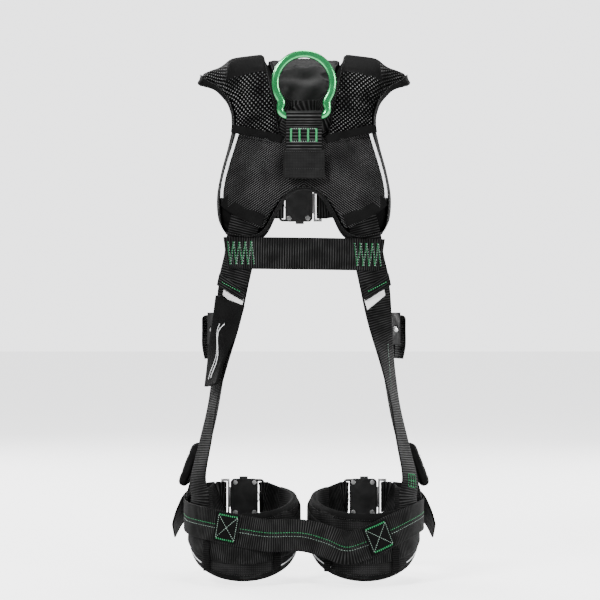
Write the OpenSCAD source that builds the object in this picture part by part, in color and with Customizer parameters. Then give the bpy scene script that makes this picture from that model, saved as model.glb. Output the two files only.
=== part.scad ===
// Full-body climbing harness, in the shape that it takes when it is worn.
// +Z is up, the wearer faces +Y and the back is at -Y. The origin is the base of the neck, between the
// shoulder pads, at the height where they bear on the shoulders. Millimetres.

/* [Webbing] */
// Width of the load-bearing webbing
web_w = 45; // [43:0.5:46]
// Thickness of the webbing
web_t = 2.4; // [2:0.1:2.6]
// Length of the loose end below each torso adjuster
tail_len = 48; // [30:1:60]

/* [Pads] */
// Thickness of the foam pads that lie on the body
pad_t = 10; // [8:0.5:10]
// Thickness of the mesh cover over the shoulders
shoulder_cover_t = 5; // [3:0.5:6]
// Thickness of the mesh cover on the back
back_cover_t = 2.5; // [2:0.5:3]
// Half height of a leg pad at the back of the thigh
leg_pad_half = 46; // [40:1:48]

/* [Dorsal ring] */
// Inner radius of the ring
ring_r = 35; // [34:0.5:36]
// Width of the ring's bar, seen face on
ring_bar = 10.5; // [10:0.5:12]
// Thickness of the ring
ring_t = 10; // [9:0.5:11]
// Width of the flat land round the inside of the ring
ring_land = 5; // [4:0.5:6]

/* [Body that it fits] */
// Half the distance between the centres of the two leg loops
thigh_x = 85.5; // [84:0.5:90]
// Half width of a thigh
thigh_a = 68; // [66:0.5:70]
// Half depth of a thigh
thigh_b = 78; // [76:0.5:80]

/* [Hidden] */
$fn = 64;

LEFT = -1;
RIGHT = 1;
X = [1, 0, 0];
Y = [0, 1, 0];
Z = [0, 0, 1];

BLACK = [0.05, 0.05, 0.055];
GREEN = [0.1, 0.62, 0.3];
STEEL = [0.35, 0.35, 0.37];

gap = 0.4;                        // between one layer of cloth and the next
ply = web_t + gap;
strap_off = pad_t + 0.6;          // inner face of the first strap on a pad
cross_off = strap_off + ply + 0.2; // inner face of the strap that crosses over it
cover_off = cross_off + ply + 1.2; // inner face of the mesh covers
hip_off = cross_off + ply + 0.2;  // inner face of the seat strap where it lies on two other straps

// ---------------------------------------------------------------- vectors and splines

function unit(v) = v / norm(v);
function mirror_x(p, side) = [side * p[0], p[1], p[2]];
function smooth(t) = let (c = min(max(t, 0), 1)) c * c * (3 - 2 * c);
function blend(a, b, t) = a + (b - a) * t;

// One span of a Catmull-Rom spline.
function span(a, b, c, d, t) = 0.5 * (2 * b + (c - a) * t + (2 * a - 5 * b + 4 * c - d) * t * t
    + (3 * b - a - 3 * c + d) * t * t * t);

// A Catmull-Rom spline through every point of p, at u from 0 to 1.
function curve(p, u) =
    let (n = len(p) - 1, f = min(max(u, 0), 1) * n, i = min(floor(f), n - 1))
    span(p[max(i - 1, 0)], p[i], p[i + 1], p[min(i + 2, n)], f - i);

// A path is a list of [point, outward normal, sideways curve], the last one being how far a strip's two edges
// lie below its middle. It is 0 where it is left out.
function part_of(at, c) = c < len(at) ? at[c] : 0;

// The path through every entry of a shorter one, about step apart.
function fine_path(path, step) = [
    for (i = [0 : len(path) - 2])
        let (n = max(1, round(norm(path[i + 1][0] - path[i][0]) / step)))
        for (k = [0 : n - (i == len(path) - 2 ? 0 : 1)])
            [for (c = [0 : 2]) span(part_of(path[max(i - 1, 0)], c), part_of(path[i], c),
                part_of(path[i + 1], c), part_of(path[min(i + 2, len(path) - 1)], c), k / n)]
];

// ---------------------------------------------------------------- the body's surfaces

ridge_z = 16;        // top of the shoulder beside the neck
ridge_fall = 3.9e-8; // how fast the shoulders slope
neck_rise = 9;       // the rise towards the neck
neck_w = 50;
arc_run = 100;       // the run of the curve over the shoulder, on each side of its top
bulge_run = 160;
back_r = 62;
front_r = 66;
back_bulge = 14;
front_bulge = 22;
back_round = 0.0021; // roundness of the back and of the chest, from side to side
front_round = 0.0012;

function ridge(x) = ridge_z - ridge_fall * pow(x, 4) + neck_rise * exp(-pow(x / neck_w, 2));

// The torso: x across, and s along a line that runs over the shoulder, negative down the back.
function yoke_point(x, s) =
    let (
        back = s < 0,
        r = back ? back_r : front_r,
        phi = 90 * min(abs(s), arc_run) / arc_run,
        run = max(abs(s) - arc_run, 0),
        bulge = (back ? back_bulge : front_bulge) * (1 - cos(180 * min(run, bulge_run) / bulge_run)) / 2,
        round_off = (back ? back_round : front_round) * x * x * smooth(abs(s) / 80)
    )
    [x, (back ? -1 : 1) * (r * sin(phi) + bulge - round_off), r * (cos(phi) - 1) - run + ridge(x)];
function yoke_normal(x, s) = unit(cross(yoke_point(x + 1, s) - yoke_point(x - 1, s),
    yoke_point(x, s + 1) - yoke_point(x, s - 1)));
function yoke(x, s, off) = yoke_point(x, s) + off * yoke_normal(x, s);

// s for a height, on the straight runs below the shoulder.
function back_s(x, z) = z - ridge(x) + back_r - arc_run;
function front_s(x, z) = ridge(x) - z - front_r + arc_run;

// An entry of a path on the torso, at a given offset to the middle of the webbing.
yoke_cup = 1.1;
function on_yoke(x, s, off) = [yoke(x, s, off), yoke_normal(x, s), yoke_cup];
function on_back(x, z, off) = on_yoke(x, back_s(x, z), off);
function on_front(x, z, off) = on_yoke(x, front_s(x, z), off);
function turned_over(at) = [at[0], -at[1], 0];

thigh_y = -5;
leg_z = -630;      // the leg loops' middle height
leg_tilt = 28;     // how much lower they lie at the back, and higher in front

// A thigh, at phi round it: 0 is its outer side, 90 its back, 180 its inner side and 270 its front.
function thigh(side, phi, off, z) = [
    side * (thigh_x + (thigh_a + off) * cos(phi)), thigh_y - (thigh_b + off) * sin(phi), z];
function thigh_normal(side, phi) = unit([
    side * cos(phi) * thigh_b, -sin(phi) * thigh_a, 0]);
function leg_height(phi) = leg_z - leg_tilt * sin(phi);
function on_thigh(side, phi, off, z) = [thigh(side, phi, off, z), thigh_normal(side, phi), 0];
// The same for a strap that runs down the thigh, and so curves across its width.
function down_thigh(side, phi, off, z) = [thigh(side, phi, off, z), thigh_normal(side, phi), 2.9];

// ---------------------------------------------------------------- cloth

function tangent(path, i) = unit(path[min(i + 1, len(path) - 1)][0] - path[max(i - 1, 0)][0]);

// A strip of webbing whose middle runs along a path.
module ribbon(path, width = web_w, thick = web_t, step = 9) {
    fine = fine_path(path, step);
    function face(high) = [
        for (i = [0 : len(fine) - 1])
            let (
                along = tangent(fine, i),
                across = unit(cross(along, fine[i][1])) * width / 2,
                up = unit(cross(across, along))
            )
            [for (c = [1, 0.5, 0, -0.5, -1])
                fine[i][0] + c * across + (high * thick / 2 - c * c * fine[i][2]) * up]
    ];
    quilt(face(1), face(-1));
}

// A padded sheet between two grids of points with the same rows and columns.
module quilt(outer, inner) {
    rows = len(outer);
    cols = len(outer[0]);
    m = rows * cols;
    points = concat([for (r = outer, p = r) p], [for (r = inner, p = r) p]);
    cells = [for (r = [0 : rows - 2], c = [0 : cols - 2]) r * cols + c];
    rim = concat(
        [for (c = [0 : cols - 1]) c],
        [for (r = [1 : rows - 1]) r * cols + cols - 1],
        [for (c = [cols - 2 : -1 : 0]) (rows - 1) * cols + c],
        [for (r = [rows - 2 : -1 : 1]) r * cols]
    );
    polyhedron(points, concat(
        [for (a = cells, f = [[a, a + 1, a + cols + 1], [a, a + cols + 1, a + cols]]) f],
        [for (a = cells, f = [[a + m, a + cols + 1 + m, a + 1 + m], [a + m, a + cols + m, a + cols + 1 + m]]) f],
        [for (i = [0 : len(rim) - 1]) let (a = rim[i], b = rim[(i + 1) % len(rim)])
            for (f = [[a, a + m, b + m], [a, b + m, b]]) f]
    ));
}

// A Coons patch between four plan curves that meet at their corners.
function patch(top, bottom, left, right, u, v) =
    blend(curve(top, u), curve(bottom, u), v) + blend(curve(left, v), curve(right, v), u)
    - blend(blend(top[0], top[len(top) - 1], u), blend(bottom[0], bottom[len(bottom) - 1], u), v);

// 1 inside a pad, falling to edge along its rim.
function crown(u, v, edge, rim) = blend(edge, 1, smooth(min(u, 1 - u, v, 1 - v) / rim));

// A pad on the torso: four edges in (x, s), from one offset to another.
module yoke_pad(top, bottom, left, right, off, thick, edge = 0.5, cols = 16, rows = 14) {
    function grid(high) = [
        for (j = [0 : rows]) [
            for (i = [0 : cols])
                let (u = i / cols, v = j / rows, p = patch(top, bottom, left, right, u, v))
                yoke(p[0], p[1], off + (high ? thick * crown(u, v, edge, 0.14) : 0))
        ]
    ];
    quilt(grid(true), grid(false));
}

// ---------------------------------------------------------------- pads

back_pad_seam = [for (p = [[-99.5, -72], [-60, -80], [-27, -89], [0, -94], [27, -89], [60, -80], [99.5, -72]])
    [p[0], back_s(p[0], p[1])]];
back_pad_hem = [for (p = [[-108, -217], [-88, -223], [-68, -226], [-52, -217], [-38, -190], [-22, -165],
        [0, -157], [22, -165], [38, -190], [52, -217], [68, -226], [88, -223], [108, -217]])
    [p[0], back_s(p[0], p[1])]];
function back_pad_side(side) = [for (p = [[99.5, -72], [106, -100], [114, -130], [120, -165], [118, -197], [108, -217]])
    [side * p[0], back_s(p[0], p[1])]];

// The mesh cover stops above the hem, where the webbing comes out from under it.
back_cover_hem = [for (p = [[-111, -178], [-92, -192], [-72, -203], [-55, -209], [-42, -186], [-24, -162],
        [0, -150], [24, -162], [42, -186], [55, -209], [72, -203], [92, -192], [111, -178]])
    [p[0], back_s(p[0], p[1])]];
back_cover_seam = [for (p = [[-93, -76], [-60, -83], [-27, -92], [0, -97], [27, -92], [60, -83], [93, -76]])
    [p[0], back_s(p[0], p[1])]];
function back_cover_side(side) = [for (p = [[93, -76], [100, -102], [109, -138], [113, -162], [111, -178]])
    [side * p[0], back_s(p[0], p[1])]];

module back_pad() {
    color(BLACK) yoke_pad(back_pad_seam, back_pad_hem, back_pad_side(LEFT), back_pad_side(RIGHT),
        0, pad_t, cols = 36, rows = 10);
}

strip_w = 4;
strip_t = 0.8;
module reflective_strips() {
    off = cover_off + back_cover_t + gap + strip_t / 2;
    color("white") for (side = [LEFT, RIGHT])
        ribbon([for (p = [[89, -77], [95, -98], [101.5, -120], [107, -142], [109.5, -158], [110, -168]])
            [on_back(side * p[0], p[1], off)[0], on_back(side * p[0], p[1], off)[1]]], strip_w, strip_t);
}

module back_cover() {
    color(BLACK) yoke_pad(back_cover_seam, back_cover_hem, back_cover_side(LEFT), back_cover_side(RIGHT),
        cover_off, back_cover_t, cols = 36, rows = 8);
}

// A shoulder pad, from the seam on the back over the shoulder and down the chest.
chest_end = 176;
seam_gap = 2;
pad_outer = [[99.5, back_s(99.5, -72) + seam_gap], [99.5, -104], [102, -92], [106.5, -80], [114, -67], [124, -51], [142, -28],
    [149, -8], [146, 10], [126, 34], [110, 58], [104, 85], [103, 115], [103, 140], [102, chest_end]];
pad_inner = [[27, back_s(27, -89) + seam_gap], [31, -120], [36, -90], [42, -60], [47, -30], [50, 0],
    [51, 30], [50, 60], [48, 95], [48, 135], [52, chest_end]];

function sided(points, side) = [for (p = points) [side * p[0], p[1]]];

module shoulder_pad(side) {
    seam = [pad_outer[0], [60, back_s(60, -80) + seam_gap], pad_inner[0]];
    hem = [pad_outer[len(pad_outer) - 1], [77, chest_end + 7], pad_inner[len(pad_inner) - 1]];
    color(BLACK) side_pad(side, seam, hem, pad_outer, pad_inner, 0, pad_t, 10, 26);
}

// A pad given for the right side, turned so that its faces point out on either side.
module side_pad(side, seam, hem, outer, inner, off, thick, cols, rows) {
    if (side == RIGHT) yoke_pad(reversed(seam), reversed(hem), inner, outer, off, thick, cols = cols, rows = rows);
    else yoke_pad(sided(seam, LEFT), sided(hem, LEFT), sided(outer, LEFT), sided(inner, LEFT), off, thick,
        cols = cols, rows = rows);
}
function reversed(p) = [for (i = [len(p) - 1 : -1 : 0]) p[i]];

cover_outer = [[91, back_s(91, -74) + 5], [91, -104], [93, -88], [97, -66], [100, -46], [100, -28],
    [99, -8], [98, 10], [98, 34], [98, 58], [98, 85], [97, 115], [96, 140], [95, chest_end - 14]];
cover_inner = [[33, back_s(33, -88) + 5], [36, -118], [39, -90], [43, -60], [48, -30], [52, 0],
    [53, 30], [54, 60], [54, 95], [55, 130], [58, chest_end - 14]];

module shoulder_cover(side) {
    seam = [cover_outer[0], [60, back_s(60, -81) + 5], cover_inner[0]];
    hem = [cover_outer[len(cover_outer) - 1], [77, chest_end - 9], cover_inner[len(cover_inner) - 1]];
    color(BLACK) side_pad(side, seam, hem, cover_outer, cover_inner, cover_off, shoulder_cover_t, 8, 24);
}

// The panel behind the ring, between the two shoulder pads, with the thick collar along its top.
panel_top = -34;
panel_t = 8;
collar_t = 17;
module dorsal_panel() {
    cols = 12;
    rows = 14;
    side_r = [[44.5, panel_top], [39.5, -60], [33.5, -90], [28.5, -118], [22, back_s(22, -90) + seam_gap]];
    top = [[-44.5, panel_top], [0, panel_top - 3], [44.5, panel_top]];
    low = [for (x = [-22, 0, 22]) [x, back_s(x, -90 - (x == 0 ? 4 : 0)) + seam_gap]];
    function grid(high) = [
        for (j = [0 : rows]) [
            for (i = [0 : cols])
                let (
                    u = i / cols,
                    v = j / rows,
                    p = patch(top, low, sided(side_r, LEFT), side_r, u, v),
                    thick = blend(collar_t, panel_t, smooth((v - 0.15) / 0.25))
                )
                yoke(p[0], p[1], high ? thick * crown(u, v, 0.5, 0.12) : 0)
        ]
    ];
    color(BLACK) quilt(grid(true), grid(false));
}

function leg_pad_height(phi) = let (k = sin(phi)) leg_pad_half - (k > 0 ? 8 * (1 - k) : 8 - 18 * k);
leg_pad_from = -46;
leg_pad_to = 224;

module leg_pad(side) {
    cols = 30;
    rows = 6;
    function grid(high) = [
        for (j = [0 : rows]) [
            for (i = [0 : cols])
                let (
                    u = side == RIGHT ? 1 - i / cols : i / cols,
                    phi = blend(leg_pad_from, leg_pad_to, u),
                    v = j / rows,
                    z = leg_height(phi) + leg_pad_height(phi) * (1 - 2 * v)
                )
                thigh(side, phi, high ? pad_t * crown(u, v, 0.5, 0.12) : 0, z)
        ]
    ];
    color(BLACK) quilt(grid(true), grid(false));
}

// ---------------------------------------------------------------- torso adjusters

// The middle of each adjuster, with the strap's way down, its width and its outward normal.
adjuster_at = [119, 35, -348];
function adjuster_frame_of(side) = [mirror_x(adjuster_at, side), -Z, [side * 0.28, -0.96, 0], [side * 0.96, 0.28, 0]];
adjuster_bar_r = 4.6;
adjuster_bar_travel = 3;
bar_t = 6;               // the sliding bar, down the strap and outward from it
bar_n = adjuster_bar_r + gap + web_t / 2;
top_bar_t = -14;
low_bar_t = 22;
low_bar_n = 3;
cross_bar_r = 2;
turn_r = 5;              // the loose end's turn over the front of the frame
ear_t = 2.2;
ear_inner = 25.5;

// [point, normal] in an adjuster's own plane: t down the strap, n outward, turned by a from outward.
function in_adjuster(side, t, n, a) =
    let (f = adjuster_frame_of(side)) [f[0] + t * f[1] + n * f[3], cos(a) * f[3] + sin(a) * f[1]];
// A turn of the webbing round a bar, from one angle to another; turn 1 keeps the bar on its inner face.
function wrap(side, t, n, r, from, to, face, steps) = [
    for (k = [0 : steps]) let (a = blend(from, to, k / steps))
        in_adjuster(side, t + r * sin(a), n + r * cos(a), a + (face > 0 ? 0 : 180))];

module in_adjuster_space(side) {
    f = adjuster_frame_of(side);
    multmatrix([
        [f[2][0], f[1][0], f[3][0], f[0][0]],
        [f[2][1], f[1][1], f[3][1], f[0][1]],
        [f[2][2], f[1][2], f[3][2], f[0][2]],
    ]) children();
}

// Its own axes are across the strap, down the strap and outward.
module adjuster_frame(side) {
    ear_len = low_bar_t - top_bar_t + 2 * 5;
    slot_r = adjuster_bar_r - 1.4;
    color(BLACK) in_adjuster_space(side) {
        for (e = [-1, 1]) difference() {
            translate([e > 0 ? ear_inner : -ear_inner - ear_t, top_bar_t - 5, -1])
                cube([ear_t, ear_len, bar_n + 8]);
            hull() for (t = [bar_t, bar_t - adjuster_bar_travel])
                translate([e * (ear_inner + ear_t / 2), t, bar_n])
                    rotate([0, 90, 0]) cylinder(r = slot_r + 0.2, h = 3 * ear_t, center = true, $fn = 32);
        }
        for (b = [[top_bar_t, bar_n], [low_bar_t, low_bar_n]])
            translate([0, b[0], b[1]]) rotate([0, 90, 0]) cylinder(r = cross_bar_r, h = 2 * ear_inner + 1, center = true);
    }
}

module adjuster_bar(side) {
    neck_r = adjuster_bar_r - 1.4;
    color(STEEL) in_adjuster_space(side) translate([0, bar_t, bar_n]) rotate([0, 90, 0]) {
        cylinder(r = adjuster_bar_r, h = 2 * ear_inner - 0.6, center = true);
        cylinder(r = neck_r, h = 2 * (ear_inner + ear_t) + 3, center = true);
    }
}

// ---------------------------------------------------------------- straps

half = web_t / 2;

// The strap that comes up from one adjuster, over that shoulder, behind the ring and out at the other side.
module shoulder_strap(side) {
    lift = side == RIGHT ? ply : 0;
    low = strap_off + half;
    high = low + lift;
    r = adjuster_bar_r + gap + half;
    over_n = 2 * r;
    lift_over = lift + (side == RIGHT ? 1.5 : 0);
    crossing = low + lift_over;
    tail = [
        in_adjuster(side, tail_len, over_n + 2 * turn_r - 4, 8),
        in_adjuster(side, tail_len * 0.6, over_n + 2 * turn_r, 0),
        in_adjuster(side, 4, over_n + 2 * turn_r, 0),
    ];
    over = [for (k = [0 : 6]) let (a = 0 - 180 * k / 6)
        in_adjuster(side, -9 + turn_r * sin(a), over_n + turn_r + turn_r * cos(a), a)];
    under = [for (k = [0 : 6]) let (a = 180 * k / 6)
        in_adjuster(side, bar_t + r * sin(a), bar_n + r * cos(a), a + 180)];
    climb = [
        in_adjuster(side, -14, 0, 0),
        in_adjuster(side, -30, 0.5, -4),
    ];
    front = [
        [[side * 110, 61, -292], unit([side * 0.68, 0.73, 0]), 0],
        [[side * 95, 78, -252], unit([side * 0.4, 0.9, 0]), 0],
        on_front(side * 81, -218, low),
        on_front(side * 78, -190, low),
    ];
    chest = [for (k = [0 : 9]) on_yoke(side * 76, blend(176, -20, k / 9), low + 0.4)];
    back = [
        on_yoke(side * 74, -38, low),
        on_yoke(side * 69, -56, blend(low, crossing, 0.3)),
        on_yoke(side * 59, -76, blend(low, crossing, 0.8)),
        on_yoke(side * 43, -96, crossing),
        on_yoke(side * 24, -113, crossing),
        on_back(0, -57, crossing),
        on_back(side * -26, -99, high),
        on_back(side * -53, -146, high),
        on_back(side * -74, -186, blend(low, high, 0.5)),
        on_back(side * -84, -222, low),
        on_back(side * -88, -250, low),
        on_back(side * -94, -276, low),
        on_back(side * -99, -300, low),
    ];
    color(BLACK) ribbon(concat(tail, over, under, climb, front, chest, back));
}

module back_strap() {
    ends = 104;
    color(BLACK) ribbon([for (x = [-ends : ends / 5 : ends]) on_back(x, -246 - 1.5 * x / ends, cross_off + 1 + half)]);
}

// The strap from the back strap down the wearer's side to the hip.
side_strap_off = strap_off - ply - 0.6;
module side_strap(side) {
    route = [
        on_back(side * 86, -228, side_strap_off + half),
        on_back(side * 89, -252, side_strap_off + half),
        on_back(side * 98, -297, side_strap_off + half),
        [[side * 108, -58, -345], unit([side * 0.66, -0.75, 0])],
        [[side * 117.5, -48, -395], unit([side * 0.88, -0.47, 0])],
        [[side * 128, -43, -450], unit([side * 0.95, -0.3, 0])],
        [[side * 139, -48, -510], unit([side * 0.92, -0.4, 0.05])],
        [[side * 150, -58, -560], unit([side * 0.87, -0.49, 0.08]), 1],
        down_thigh(side, 39, cross_off + half - 1, -588),
        down_thigh(side, 39, cross_off + half - 0.2, -602),
        down_thigh(side, 39, cross_off + half, -620),
        down_thigh(side, 39, cross_off + half, -640),
    ];
    color(BLACK) ribbon(route);
}

// Its end on the hip, facing in as the rest of it does.
function hip_end(side, z, off) = let (at = down_thigh(side, -6, off, z)) [at[0], -at[1], -at[2]];

// The strap from the torso adjuster's lower bar down to the hip.
module front_strap(side) {
    r = cross_bar_r + gap + half;
    loop = concat(
        [in_adjuster(side, low_bar_t + 24, low_bar_n + r - 1.2, 0), in_adjuster(side, low_bar_t + 12, low_bar_n + r - 0.4, 0)],
        [for (k = [0 : 6]) let (a = -180 * k / 6) in_adjuster(side, low_bar_t + r * sin(a), low_bar_n + r * cos(a), a)],
        [in_adjuster(side, low_bar_t + 12, low_bar_n - r, 180), in_adjuster(side, low_bar_t + 24, low_bar_n - r, 180)]
    );
    down = [
        [[side * 123, 28, -420], -unit([side * 0.97, 0.25, 0])],
        [[side * 133, 19, -480], -unit([side * 0.97, 0.22, 0])],
        [[side * 148, 10, -545], -unit([side * 0.98, 0.15, 0.1]), -1],
        hip_end(side, -578, cross_off + half - 4),
        hip_end(side, -592, cross_off + half - 0.6),
        hip_end(side, -606, cross_off + half),
        hip_end(side, -624, cross_off + half),
        hip_end(side, -642, cross_off + half),
    ];
    color(BLACK) ribbon(concat(loop, down));
}

// The strap under the seat, from hip to hip across the backs of both thighs. It rides lower on one side.
seat_front = -28;
module seat_strap() {
    out = hip_off + half;
    off = cross_off + half;
    // Over the two straps at each hip, and close to the leg strap behind the thigh.
    function half_seat(side, heights) = [
        for (k = [0 : 10])
            let (phi = blend(seat_front, 92, k / 10))
            on_thigh(side, phi, blend(out, off, smooth((phi - 62) / 24)), curve(heights, k / 10))
    ];
    route = concat(
        half_seat(LEFT, [-612, -615, -620, -623, -628, -635]),
        [[[-50, -98.5, -640], -Y], [[-4, -96.5, -640], -Y], [[30, -97.5, -648], -Y], [[58, -99, -658], -Y]],
        reversed(half_seat(RIGHT, [-614, -616, -618, -624, -636, -652]))
    );
    color(BLACK) ribbon(route);
}

// The sewn reinforcing squares that join the seat strap to the leg straps.
patch_t = 1.2;
patch_at = [[LEFT, 86, 64, -632, -626], [RIGHT, 88, 66, -649, -635]];
module seat_patches() {
    color(BLACK) for (p = patch_at)
        ribbon([for (k = [0 : 3]) on_thigh(p[0], blend(p[1], p[2], k / 3), hip_off + ply + patch_t / 2,
            blend(p[3], p[4], k / 3))], 43, patch_t);
}

// ---------------------------------------------------------------- dorsal ring

ring_centre = [0, -93.5, -7];
ring_mouth = 26.3;       // half the gap in the round, where the webbing passes
ring_leg_x = 33.3;       // middle of each leg
ring_foot = 47;          // from the ring's centre down to the bar that it turns on
foot_r = 5;
elbow_r = 8;

module bar_section(w) {
    c = (ring_t - ring_land) / 2;
    polygon([[-w / 2 + c, -ring_t / 2], [w / 2 - c, -ring_t / 2], [w / 2, -ring_t / 2 + c], [w / 2, ring_t / 2 - c],
        [w / 2 - c, ring_t / 2], [-w / 2 + c, ring_t / 2], [-w / 2, ring_t / 2 - c], [-w / 2, -ring_t / 2 + c]]);
}

// Drawn flat in its own XY plane, then stood up; +Y of the drawing is up and +Z is the wearer's back.
module dorsal_ring() {
    mouth_angle = acos(ring_mouth / ring_r);
    color(GREEN) translate(ring_centre) rotate([90, 0, 0]) {
        rotate([0, 0, -mouth_angle]) rotate_extrude(angle = 180 + 2 * mouth_angle)
            translate([ring_r + ring_bar / 2, 0]) bar_section(ring_bar);
        for (e = [-1, 1]) {
            translate([e * ring_leg_x, -ring_foot + elbow_r, 0]) rotate([-90, 0, 0])
                linear_extrude(ring_foot - elbow_r - 22) bar_section(2 * (ring_leg_x - ring_mouth - 0.9));
            translate([e * (ring_leg_x - elbow_r), -ring_foot + elbow_r, 0])
                rotate([0, 0, e > 0 ? -90 : 180]) rotate_extrude(angle = 90)
                    translate([elbow_r, 0]) circle(r = foot_r);
        }
        translate([0, -ring_foot, 0]) rotate([0, 90, 0])
            cylinder(r = foot_r, h = 2 * (ring_leg_x - elbow_r), center = true);
    }
}

// The loop of webbing that holds the ring's lower bar, with both plies sewn together below it.
loop_w = 50;
loop_low = -110;
loop_lean = 5;      // how much further out the loop's end lies, on top of the back pad
module dorsal_loop() {
    r = foot_r + gap + 0.2 + half;
    y0 = ring_centre[1];
    z0 = ring_centre[2] - ring_foot;
    back_y = y0 + r + 0.6;
    front_y = back_y - ply;
    route = concat(
        [[[0, front_y - loop_lean, loop_low], -Y], [[0, front_y - 0.7 * loop_lean, z0 - 42], -Y],
            [[0, front_y - 0.8, z0 - 24], -Y], [[0, front_y - 0.4, z0 - 15], -Y]],
        [for (k = [0 : 8]) let (a = blend(-28, 192, k / 8))
            [[0, y0 - r * cos(a), z0 + r * sin(a)], [0, -cos(a), sin(a)]]],
        [[[0, back_y, z0 - 15], Y], [[0, back_y - 0.4, z0 - 24], Y],
            [[0, back_y - 0.7 * loop_lean, z0 - 42], Y], [[0, back_y - loop_lean, loop_low], Y]]
    );
    color(BLACK) ribbon(route, loop_w, step = 6);
}

// The flap below the ring.
flap_w = 58;
flap_t = 2.5;
module keeper_flap() {
    y = ring_centre[1] + foot_r + gap + 0.8 - loop_lean - ply - flap_t;
    color(BLACK) ribbon([for (z = [-101, -114, -128, -141]) [[0, y + 0.02 * (z + 101), z], -Y]], flap_w, flap_t, 20);
}

// ---------------------------------------------------------------- quick-connect buckles

buckle_l = 50;      // housing, along the slide
buckle_w = 54;      // housing, across it
plate_t = 1.8;
cavity = 6.4;
tongue_t = 3;
tongue_w = 30;
tongue_in = 27;     // how much of the tongue is in the housing
slot_w = 47;
slot_h = 5;
web_bar = 4.5;
latch_w = 6;
latch_travel = 3;
mouth_u = buckle_l / 2;
tongue_head_u = mouth_u + 1.5;

// Each buckle's place, with the way its tongue comes out, the way up its webbing's width and its outward normal.
function buckle_frame(which) =
    which == "chest" ? [[-12, 95, -168], X, Z, Y]
    : which == "left" ? [[-83, 87, -602], -X, Z, Y]
    : [[83, 87, -602], X, Z, Y];

module in_buckle(which) {
    f = buckle_frame(which);
    multmatrix([
        [f[1][0], f[2][0], f[3][0], f[0][0]],
        [f[1][1], f[2][1], f[3][1], f[0][1]],
        [f[1][2], f[2][2], f[3][2], f[0][2]],
    ]) children();
}

module round_plate(l, w, r, t) {
    linear_extrude(t) {
        square([l - 2 * r, w], center = true);
        square([l, w - 2 * r], center = true);
        for (a = [-1, 1], b = [-1, 1]) translate([a * (l / 2 - r), b * (w / 2 - r)]) circle(r = r);
    }
}

rivet_at = [for (a = [[-10, 1], [18, 1], [-10, -1], [18, -1]]) [a[0], a[1] * (buckle_w / 2 - 5)]];
rivet_r = 2.2;

module buckle_base(which) {
    color(BLACK) in_buckle(which) difference() {
        round_plate(buckle_l, buckle_w, 6, plate_t);
        translate([-buckle_l / 2 + web_bar, -slot_w / 2, -plate_t]) cube([slot_h, slot_w, 3 * plate_t]);
        for (p = rivet_at) translate([p[0], p[1], -1]) cylinder(r = rivet_r, h = 2 * plate_t);
    }
}

module buckle_cover(which) {
    l = buckle_l - web_bar - slot_h - 1;
    color(BLACK) in_buckle(which) translate([mouth_u - l / 2, 0, plate_t + cavity]) difference() {
        round_plate(l, buckle_w, 6, plate_t);
        for (p = rivet_at) translate([p[0] - mouth_u + l / 2, p[1], -1]) cylinder(r = rivet_r, h = 2 * plate_t);
    }
}

// Each rivet has a head on both faces and a shoulder that holds the two plates apart.
module buckle_rivets(which) {
    color(STEEL) in_buckle(which) for (p = rivet_at) translate([p[0], p[1], 0]) {
        translate([0, 0, -1]) cylinder(r = rivet_r + 1.2, h = 1);
        translate([0, 0, -0.5]) cylinder(r = rivet_r, h = cavity + 2 * plate_t + 1);
        translate([0, 0, plate_t]) cylinder(r = rivet_r + 0.8, h = cavity);
        translate([0, 0, cavity + 2 * plate_t]) cylinder(r = rivet_r + 1.2, h = 1);
    }
}

// The plate that slides into the housing, with a bar for the webbing at its outer end.
module tongue(which) {
    color(STEEL) in_buckle(which) translate([0, 0, plate_t + (cavity - tongue_t) / 2]) difference() {
        linear_extrude(tongue_t) {
            translate([mouth_u - tongue_in, -tongue_w / 2]) square([tongue_in + 4, tongue_w]);
            translate([tongue_head_u, -buckle_w / 2]) square([3 + slot_h + web_bar, buckle_w]);
        }
        for (e = [-1, 1]) translate([mouth_u - 16, e * tongue_w / 2, tongue_t / 2])
            cube([9, 6, 2 * tongue_t], center = true);
        translate([tongue_head_u + 3 + slot_h / 2, 0, tongue_t / 2]) cube([slot_h, slot_w, 2 * tongue_t], center = true);
    }
}

// A latch bar, with the tab that a finger presses at its outer end.
module latch(which, way) {
    tab = buckle_w / 2 + 3.5;
    inner = tongue_w / 2 + 0.4;
    color(BLACK) in_buckle(which) translate([0, 0, plate_t + 0.5]) linear_extrude(cavity - 1) {
        for (s = [way]) {
            translate([-5, s > 0 ? inner + latch_travel : -inner - latch_travel - latch_w + 2]) square([18.2, latch_w - 2]);
            translate([0, s > 0 ? inner + latch_travel : -tab]) square([12, tab - inner - latch_travel]);
        }
    }
}

// The bent leaf between the two latch bars that pushes them out.
module latch_spring(which) {
    color(STEEL) in_buckle(which) translate([0, 0, plate_t + 1]) linear_extrude(cavity - 2) {
        r = tongue_w / 2;
        translate([mouth_u - tongue_in - gap - 0.2, 0]) intersection() {
            difference() {
                circle(r = r);
                circle(r = r - 0.8);
            }
            translate([-2 * r, -r]) square([2 * r, 2 * r]);
        }
    }
}

// ---------------------------------------------------------------- straps on the buckles

// A path round a buckle's bar, from the outer ply round to the inner one, in the buckle's own plane. u is the
// middle of the turn, and out is +1 where the webbing leaves with the tongue and -1 where it leaves the housing.
function round_bar(which, u, w, r, out, run) =
    let (f = buckle_frame(which))
    concat(
        [for (d = [run, run * 0.5]) [f[0] + (u + out * d) * f[1] + (w + r) * f[3], f[3]]],
        [for (k = [0 : 6]) let (a = 180 * k / 6)
            [f[0] + (u - out * r * sin(a)) * f[1] + (w + r * cos(a)) * f[3], cos(a) * f[3] - out * sin(a) * f[1]]],
        [for (d = [run * 0.5]) [f[0] + (u + out * d) * f[1] + (w - r) * f[3], -f[3]]]
    );

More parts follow.
